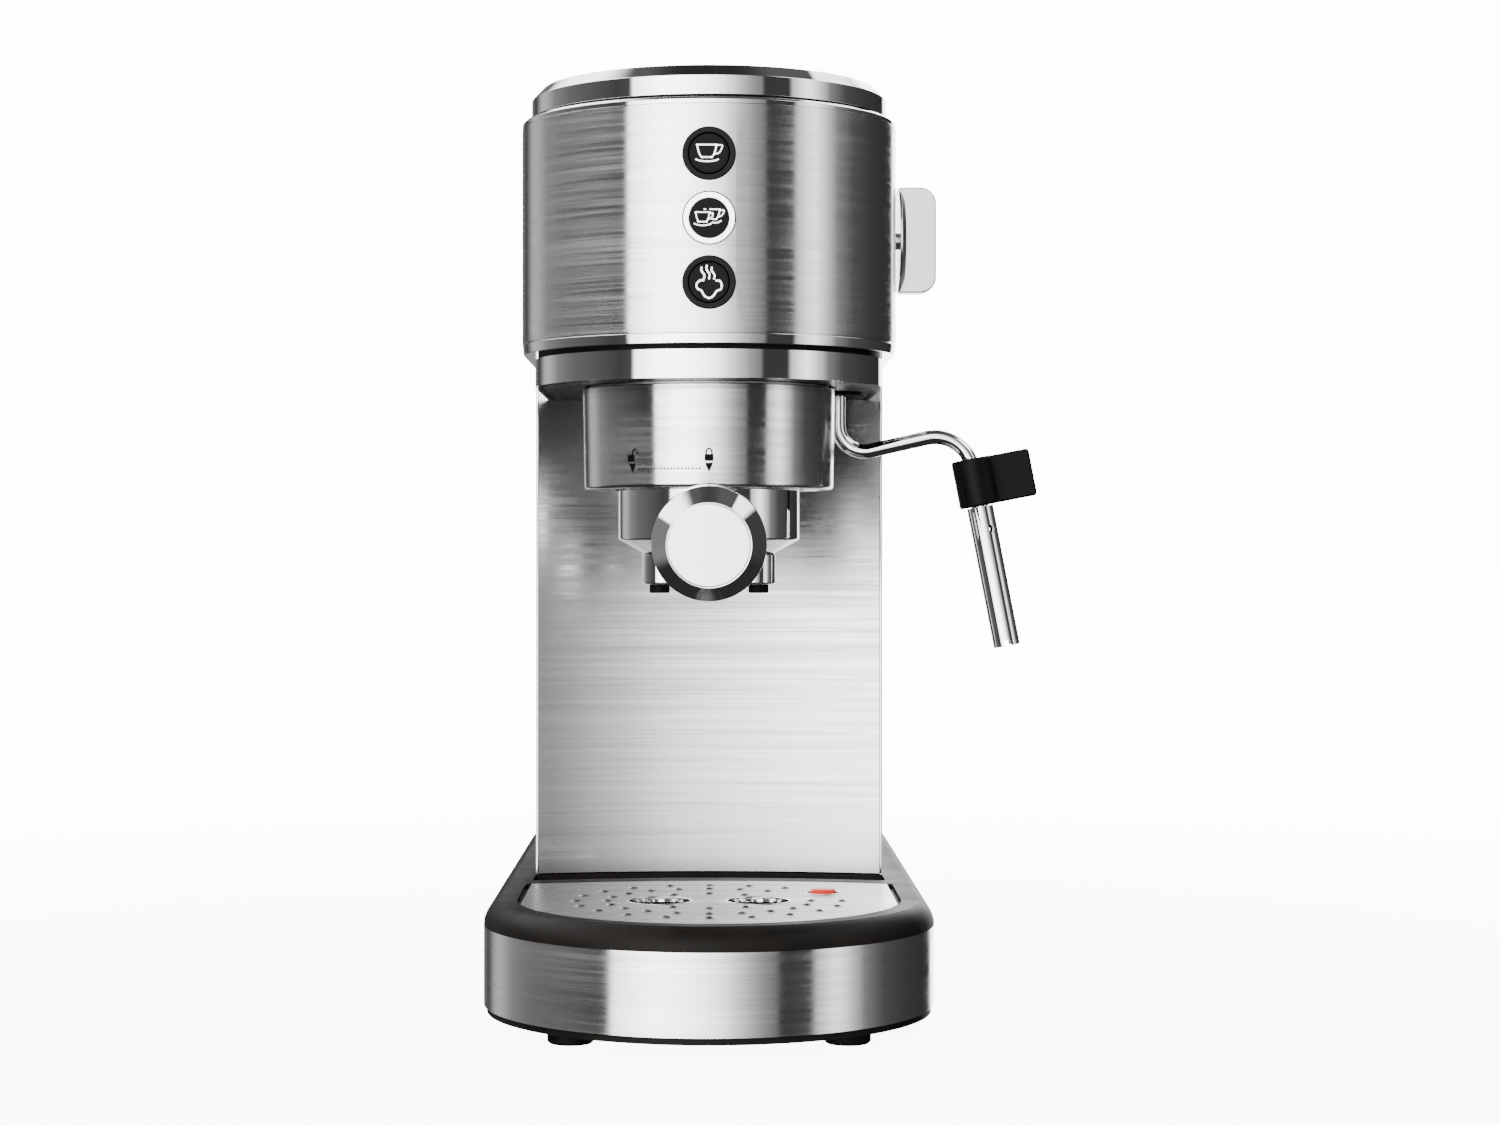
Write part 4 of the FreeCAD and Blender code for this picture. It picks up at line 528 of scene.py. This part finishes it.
def add_sweep(bm, path, profile):
    """Carries (inset, height) points round a closed path."""
    rows = [[bm.verts.new((*(p - n * u), z)) for u, z in profile] for p, n in path]
    for i, row in enumerate(rows):
        following = rows[(i + 1) % len(rows)]
        for k in range(len(row)):
            n = (k + 1) % len(row)
            bm.faces.new((row[k], following[k], following[n], row[n]))


def add_ribbon(bm, points, width, place_at, thick=0.06):
    """Flat printed line of even width with round ends, laid on a surface by place_at(x, y, lift)."""
    vs = [Vector(p) for p in points]
    half = width / 2
    left = []
    right = []
    for k, p in enumerate(vs):
        a = p - vs[k - 1] if k else vs[1] - p
        b = vs[k + 1] - p if k < len(vs) - 1 else a
        a = a.normalized()
        b = b.normalized()
        along = (a + b).normalized()
        side = Vector((-along.y, along.x)) * (half / max(0.5, along.dot(a)))
        left.append(p + side)
        right.append(p - side)
    tail = []
    nose = []
    for k in range(1, 6):
        a = math.pi * k / 6
        first = (vs[0] - vs[1]).normalized()
        last = (vs[-1] - vs[-2]).normalized()
        for direction, base, row in ((first, vs[0], tail), (last, vs[-1], nose)):
            side = Vector((-direction.y, direction.x))
            row.append(base + (side * math.cos(a) + direction * math.sin(a)) * half)
    loops = []
    for lift in (0.0, thick):
        loops.append(([bm.verts.new(place_at(q.x, q.y, lift)) for q in left],
                      [bm.verts.new(place_at(q.x, q.y, lift)) for q in right],
                      [bm.verts.new(place_at(q.x, q.y, lift)) for q in tail],
                      [bm.verts.new(place_at(q.x, q.y, lift)) for q in nose]))
    for lf, rt, tl, ns in loops:
        for k in range(len(lf) - 1):
            bm.faces.new((lf[k], lf[k + 1], rt[k + 1], rt[k]))
        bm.faces.new([rt[0]] + tl + [lf[0]])
        bm.faces.new([lf[-1]] + ns + [rt[-1]])
    rings = [lf + ns + rt[::-1] + tl for lf, rt, tl, ns in loops]
    count = len(rings[0])
    for k in range(count):
        n = (k + 1) % count
        bm.faces.new((rings[0][k], rings[0][n], rings[1][n], rings[1][k]))


def add_patch(bm, outline, place_at, thick=0.06):
    """Flat printed patch with the given outline."""
    rows = [[bm.verts.new(place_at(x, y, lift)) for x, y in outline] for lift in (0.0, thick)]
    bm.faces.new(rows[0])
    bm.faces.new(rows[1])
    count = len(outline)
    for k in range(count):
        n = (k + 1) % count
        bm.faces.new((rows[0][k], rows[0][n], rows[1][n], rows[1][k]))


# ------------------------------------------------------------ head and brew group
HEAD_R = 62.2
HEAD_BACK = 152.0
HEAD_CORNER = 10.0


def top_ring():
    bm = bmesh.new()
    profile = rounded([(3.2, 299.5), (3.2, 305.5, 0.35), (6.7, 309.2, 0.5), (8.2, 309.2, 0.4),
                       (8.2, 305.5), (5.2, 305.5), (5.2, 299.5)], 0.08)
    add_sweep(bm, d_outline(HEAD_R, HEAD_BACK, HEAD_CORNER), profile)
    make_piece("head_top_ring_soft", bm, "polished_steel", "machine", ["head_top_ring"])


def skirt_and_trim():
    """Polished bands under and over the brushed shell, each with a fine shadow line beside it."""
    path = d_outline(HEAD_R, HEAD_BACK, HEAD_CORNER)
    bm = bmesh.new()
    profile = rounded([(0.75, 225.0), (5.2, 225.0), (5.2, 221.2), (0.5, 221.2, 0.3), (0.08, 224.5, 0.3),
                       (0.75, 224.6, 0.1)], 0.05)
    add_sweep(bm, path, profile)
    make_piece("head_skirt_soft", bm, "polished_steel", "machine", ["head_skirt"])
    bm = bmesh.new()
    profile = rounded([(0.7, 295.9), (0.7, 296.2, 0.05), (0.08, 296.2, 0.12), (0.1, 297.6, 0.25),
                       (1.1, 298.4, 0.3), (5.2, 298.4), (5.2, 295.9)], 0.05, 6)
    add_sweep(bm, path, profile)
    make_piece("head_top_trim_soft", bm, "polished_steel", "machine", ["head_top_trim"])


COLLAR_Z = 176.7
COLLAR_TOP = 210.0
COLLAR_FOOT_R = 41.5
COLLAR_R = 42.05
PRINT_T = 0.03              # thickness of printed marks


def collar():
    """Brushed collar whose foot turns in over the brew head."""
    bm = bmesh.new()
    profile = rounded([(37.2, COLLAR_Z, 0.3), (COLLAR_FOOT_R, COLLAR_Z, 1.3), (COLLAR_R, COLLAR_TOP, 0.25),
                       (40.85, COLLAR_TOP, 0.1), (40.3, 178.2, 0.1), (37.2, 178.2, 0.3)], 0.3, 6)
    add_lathe(bm, profile, segments=180)
    make_piece("group_collar_soft", bm, "brushed_steel", "machine", ["group_collar"])


def on_collar(x, z, lift):
    """Point on the collar's wall from its arc length and height."""
    rise = (z - COLLAR_Z) / (COLLAR_TOP - COLLAR_Z)
    radius = COLLAR_FOOT_R + (COLLAR_R - COLLAR_FOOT_R) * rise + 0.01 + lift
    a = x / 42.0
    return radius * math.sin(a), -radius * math.cos(a), z


def collar_marks():
    """Shut padlock and arrow in front, open padlock and arrow to the left, dots between."""
    bm = bmesh.new()
    away = -26.6
    for centre, body_x, shackle_x in ((0.0, 0.0, 0.0), (away, away - 0.6, away + 0.95)):
        body = [(body_x - 1.4, 185.1), (body_x + 1.4, 185.1), (body_x + 1.4, 187.3),
                (body_x - 1.4, 187.3)]
        add_patch(bm, body, on_collar, PRINT_T)
        loop = [(shackle_x - 0.9, 187.3), (shackle_x - 0.9, 188.1), (shackle_x - 0.56, 188.8),
                (shackle_x, 189.1), (shackle_x + 0.56, 188.8), (shackle_x + 0.9, 188.1),
                (shackle_x + 0.9, 187.3)]
        if shackle_x != centre:
            loop = loop[:-1] + [(shackle_x + 0.9, 187.7)]
        add_ribbon(bm, catmull(loop, 3), 0.5, on_collar, PRINT_T)
        add_patch(bm, [(centre - 1.35, 184.5), (centre, 181.5), (centre + 1.35, 184.5)], on_collar, PRINT_T)
    for k in range(19):
        x = -24.0 + k * 21.0 / 18
        dot = [(x + 0.33 * math.cos(math.pi * j / 5), 182.7 + 0.33 * math.sin(math.pi * j / 5))
               for j in range(10)]
        add_patch(bm, dot, on_collar, PRINT_T)
    make_piece("collar_marks", bm, "print_black", "machine", flat=False)


def panel_hems():
    """Folded edges down both sides of the hollow front panel."""
    for name, side in (("left", -1), ("right", 1)):
        bm = bmesh.new()
        outline = rounded([(61.15, 70.75), (62.2, 70.75), (62.2, 72.25), (61.15, 72.25)], 0.5, 4)
        outline = [(side * x, y) for x, y in outline]
        add_prism(bm, outline, (0, 0, 40.7), (1, 0, 0), (0, 1, 0), 180.4, 0.1)
        make_piece("panel_hem_" + name, bm, "polished_steel", "machine")


# ------------------------------------------------------------ buttons
ONE_CUP = [
    ([(-3.8, 2.64), (2.4, 2.64)], 0.49, False),
    ([(-3.72, 2.6), (-3.4, 1.0), (-2.9, -0.4), (-2.33, -1.24)], 0.49, True),
    ([(-2.33, -1.24), (0.85, -1.24)], 0.49, False),
    ([(0.85, -1.24), (1.5, -0.4), (2.0, 1.0), (2.32, 2.6)], 0.49, True),
    ([(2.4, 2.5), (3.7, 2.55), (4.15, 2.2), (3.6, 0.75), (2.9, 0.0), (1.7, -0.25)], 0.44, True),
    ([(-4.1, -1.94), (-2.6, -2.4), (-0.6, -2.52), (1.4, -2.4), (2.8, -1.94)], 0.49, True),
]
TWO_CUPS = [
    ([(-4.2, 1.7), (0.27, 1.7)], 0.43, False),
    ([(-4.15, 1.65), (-3.9, 0.2), (-3.35, -1.25)], 0.43, True),
    ([(-3.35, -1.3), (-0.7, -1.3)], 0.43, False),
    ([(-0.7, -1.3), (-0.1, 0.2), (0.2, 1.65)], 0.43, True),
    ([(0.27, 1.4), (1.1, 1.42), (1.25, 1.1), (0.85, 0.1), (-0.05, -0.5)], 0.43, True),
    ([(-4.6, -1.9), (-3.4, -2.3), (-2.05, -2.42), (-0.6, -2.3), (0.66, -1.9)], 0.43, True),
    ([(-1.5, 2.6), (-1.1, 2.6)], 0.43, False),
    ([(0.27, 2.6), (3.4, 2.6)], 0.43, False),
    ([(3.35, 2.5), (3.0, 0.9), (2.4, -0.4)], 0.43, True),
    ([(0.95, -0.5), (2.4, -0.5)], 0.43, False),
    ([(3.5, 2.3), (4.5, 2.3), (4.68, 1.9), (4.1, 0.8), (3.0, 0.15)], 0.43, True),
    ([(0.95, -1.55), (2.4, -1.6), (3.8, -1.0)], 0.43, True),
]
STEAM = [
    ([(-2.3, 4.5), (-2.4, 3.6), (-1.5, 2.2), (-1.6, 1.05)], 0.58, True),
    ([(-0.7, 5.1), (-0.8, 4.0), (0.1, 2.4), (0.0, 1.05)], 0.58, True),
    ([(0.85, 4.5), (0.8, 3.6), (1.7, 2.2), (1.55, 1.05)], 0.58, True),
    ([(-1.7, 0.54), (-2.8, 0.47), (-3.9, -0.7), (-3.6, -2.06), (-2.4, -2.7), (-1.5, -4.2), (-0.1, -5.0),
      (1.24, -4.4), (2.4, -2.8), (3.65, -2.25), (3.96, -0.9), (3.4, 0.27), (2.2, 0.47)], 0.58, True),
]
BUTTONS = [("one_cup", 280.4, ONE_CUP), ("two_cups", 260.3, TWO_CUPS), ("steam", 240.2, STEAM)]
CAP_FACE_Y = -62.4


def buttons():
    for name, z0, strokes in BUTTONS:
        body = "button_" + name

        def on_cap(x, y, lift):
            return x, CAP_FACE_Y - 0.01 - lift, z0 + y

        bm = bmesh.new()
        for points, width, smooth in strokes:
            line = catmull(points) if smooth else points
            add_ribbon(bm, line, width, on_cap, 0.05)
        make_piece("icon_" + name, bm, "icon_white", body, flat=False)
        bm = bmesh.new()
        cap = rounded([(0, 0), (6.35, 0, 0.45), (6.4, 3.3), (2.4, 3.3), (2.4, 12.9), (0, 12.9)], 0.1, 5,
                      closed=False)
        add_lathe(bm, cap, (0, CAP_FACE_Y, z0), (0, 1, 0), closed=False)
        make_piece(body + "_soft", bm, "cap_black", body, [body])
        lit = name == "two_cups"
        edge = 8.0 if lit else 8.4
        bm = bmesh.new()
        ring = rounded([(6.5, 0.0, 0.25), (edge, 0.0, 0.4), (edge, 5.5), (6.5, 5.5)], 0.1, 5)
        add_lathe(bm, ring, (0, -62.55, z0), (0, 1, 0))
        make_piece("ring_" + name + "_soft", bm, "ring_lit" if lit else "gloss_black", "machine",
                   ["ring_" + name])
    bm = bmesh.new()
    gap = rounded([(8.05, 0.0), (8.42, 0.0, 0.12), (8.42, 4.0), (8.05, 4.0)], 0.05, 3)
    add_lathe(bm, gap, (0, -62.35, BUTTONS[1][1]), (0, 1, 0))
    make_piece("ring_two_cups_bezel", bm, "gloss_black", "machine")


# ------------------------------------------------------------ portafilter
HANDLE = Vector((0.0, -math.cos(math.radians(4.4)), -math.sin(math.radians(4.4))))
HANDLE_ROOT = Vector((0.0, -30.2, 168.0))


def portafilter():
    bm = bmesh.new()
    profile = rounded([(2.2, 155.6, 0.1), (21.9, 155.6, 0.5), (30.2, 160.2, 0.9), (30.2, 191.7, 0.5),
                       (26.2, 191.7, 0.2), (26.2, 163.2, 1.0), (2.2, 163.2, 0.1)], 0.3, 6)
    add_lathe(bm, profile, segments=160)
    stem = rounded([(0, -3.0), (6.5, -3.0), (6.5, 22.0, 0.4), (0, 22.0)], 0.1, 3, closed=False)
    add_lathe(bm, stem, HANDLE_ROOT, HANDLE, 64, closed=False)
    foot = rounded([(0, -1.0), (9.4, -1.0), (8.6, 1.6, 1.2), (6.5, 3.6, 1.5), (6.5, 6.0), (0, 6.0)], 0.0, 6,
                   closed=False)
    add_lathe(bm, foot, HANDLE_ROOT, HANDLE, 64, closed=False)
    for index in range(3):
        middle = math.radians(90 + 120 * index)
        half = math.radians(13)
        outline = []
        for radius, sign in ((35.9, 1), (29.5, -1)):
            for k in range(9):
                a = middle + sign * half * (k / 4 - 1)
                outline.append((radius * math.cos(a), radius * math.sin(a)))
        add_prism(bm, outline, (0, 0, 184.6), (1, 0, 0), (0, 1, 0), 5.0, 0.3)
    make_piece("portafilter_soft", bm, "polished_steel", "portafilter", ["portafilter_body"])


def spout():
    bm = bmesh.new()
    outline = rounded([(22.2, -8.5), (22.2, 8.5), (-22.2, 8.5), (-22.2, -8.5)], 8.4, 12)
    add_prism(bm, outline, (0, 0, 145.3), (1, 0, 0), (0, 1, 0), 10.3, 0.8, 4)
    make_piece("spout_soft", bm, "polished_steel", "portafilter", ["spout_block"])
    bm = bmesh.new()
    tip = rounded([(2.2, 142.4, 0.2), (3.35, 142.4, 0.4), (3.35, 145.3), (2.2, 145.3)], 0.05, 3)
    for x in (-16.5, 16.5):
        add_lathe(bm, tip, (x, 0, 0), segments=48)
    make_piece("spout_tips_soft", bm, "rubber", "portafilter", ["spout_tips"])


def handle():
    bm = bmesh.new()
    outline = catmull([(11.3, 17.0), (12.0, 35.0), (13.0, 62.0), (13.9, 90.0), (14.6, 117.0)], 6)
    profile = [(0.0, 17.0), (10.6, 17.0), (11.1, 17.25)] + [(v.x, v.y) for v in outline[1:]]
    add_lathe(bm, profile + [(0.0, 117.0)], HANDLE_ROOT, HANDLE, 96, closed=False)
    make_piece("handle_grip_soft", bm, "grip_black", "portafilter", ["handle_grip"])
    bm = bmesh.new()
    cap = rounded([(0, 117.0), (15.2, 117.0, 0.3), (16.1, 118.0, 0.3), (16.1, 128.4, 0.35),
                   (11.9, 134.9, 0.3), (11.55, 134.75, 0.1), (11.4, 135.3, 0.25), (0, 135.4)], 0.2, 4,
                  closed=False)
    add_lathe(bm, cap, HANDLE_ROOT, HANDLE, 144, closed=False)
    make_piece("handle_cap_soft", bm, "polished_steel", "portafilter", ["handle_end_cap"])


# ------------------------------------------------------------ steam knob and wand
KNOB_AT = Vector((64.8, 30.0, 263.1))


def knob():
    bm = bmesh.new()
    disc = rounded([(0, 0), (17.9, 0, 0.2), (18.0, 0.8, 0.2), (15.0, 2.2, 0.8), (0, 2.2)], 0.1, 4,
                   closed=False)
    add_lathe(bm, disc, KNOB_AT, (1, 0, 0), 120, closed=False)
    stem = [(0, -18.2), (2.9, -18.2), (2.9, 0.5), (0, 0.5)]
    add_lathe(bm, stem, KNOB_AT, (1, 0, 0), 48, closed=False)
    outline = rounded([(0.4, -18.1, 0.6), (13.1, -18.1, 5.5), (13.1, 18.1, 5.5), (0.4, 18.1, 0.6)], 1, 10)
    add_prism(bm, outline, KNOB_AT + Vector((0, 4.6, 0)), (1, 0, 0), (0, 0, 1), 9.2, 0.55, 4)
    make_piece("steam_knob_soft", bm, "satin_steel", "steam_knob", ["steam_knob"])


WAND_TOP = Vector((90.8, 25.0, 182.1))
WAND_DOWN = Vector((math.sin(math.radians(11)), 0.0, -math.cos(math.radians(11))))


def wand_grip():
    """Black finger grip: a sleeve on the pipe with a flat tab to one side."""
    bm = bmesh.new()
    top = WAND_TOP - WAND_DOWN * 6.0
    sleeve = rounded([(2.6, 0, 0.2), (6.8, 0, 0.9), (6.8, 16.5, 0.9), (3.1, 16.5, 0.2)], 0.2, 5)
    add_lathe(bm, sleeve, top, WAND_DOWN, 80)
    out = Vector((WAND_DOWN.z * -1, 0.0, WAND_DOWN.x))
    outline = rounded([(4.0, 0.0, 0.2), (20.8, 0.0, 1.2), (20.8, 16.5, 1.2), (4.0, 16.5, 0.2)], 1, 5)
    add_prism(bm, outline, top + Vector((0, 4.5, 0)), out, WAND_DOWN, 9.0, 0.9, 4)
    make_piece("wand_grip_soft", bm, "grip_black", "wand", ["wand_grip"])


def grid_lips():
    """Rolled rims of the two drain holes and the float's hole."""
    bm = bmesh.new()
    lip = rounded([(-1.1, 0.05, 0.3), (-0.02, 0.32, 0.3), (0.1, -2.6, 0.2), (-0.35, -2.6, 0.2),
                   (-0.5, -0.05, 0.2)], 0.2, 4)
    for x, y, radius in ((-16.4, -5.0, 10.25), (16.4, -5.0, 10.25), (38.8, 17.4, 5.6)):
        add_lathe(bm, [(radius - u, 40.2 + h) for u, h in lip], (x, y, 0), segments=72)
    make_piece("grid_lips", bm, "polished_steel", "grid")


# ------------------------------------------------------------ build
make_camera()
make_world()
make_floor()
make_backdrop()
MATERIALS = make_materials()
for part in frame["record"]["subparts"]:
    node = NODES[part["node"]]
    node.data.materials.clear()
    node.data.materials.append(MATERIALS[part["material_slot"]])
NODES["column_panel"].data.materials[0] = MATERIALS["panel_steel"]
for build in (top_ring, skirt_and_trim, collar, collar_marks, panel_hems, buttons,
              portafilter, spout, handle, knob, wand_grip, grid_lips):
    build()
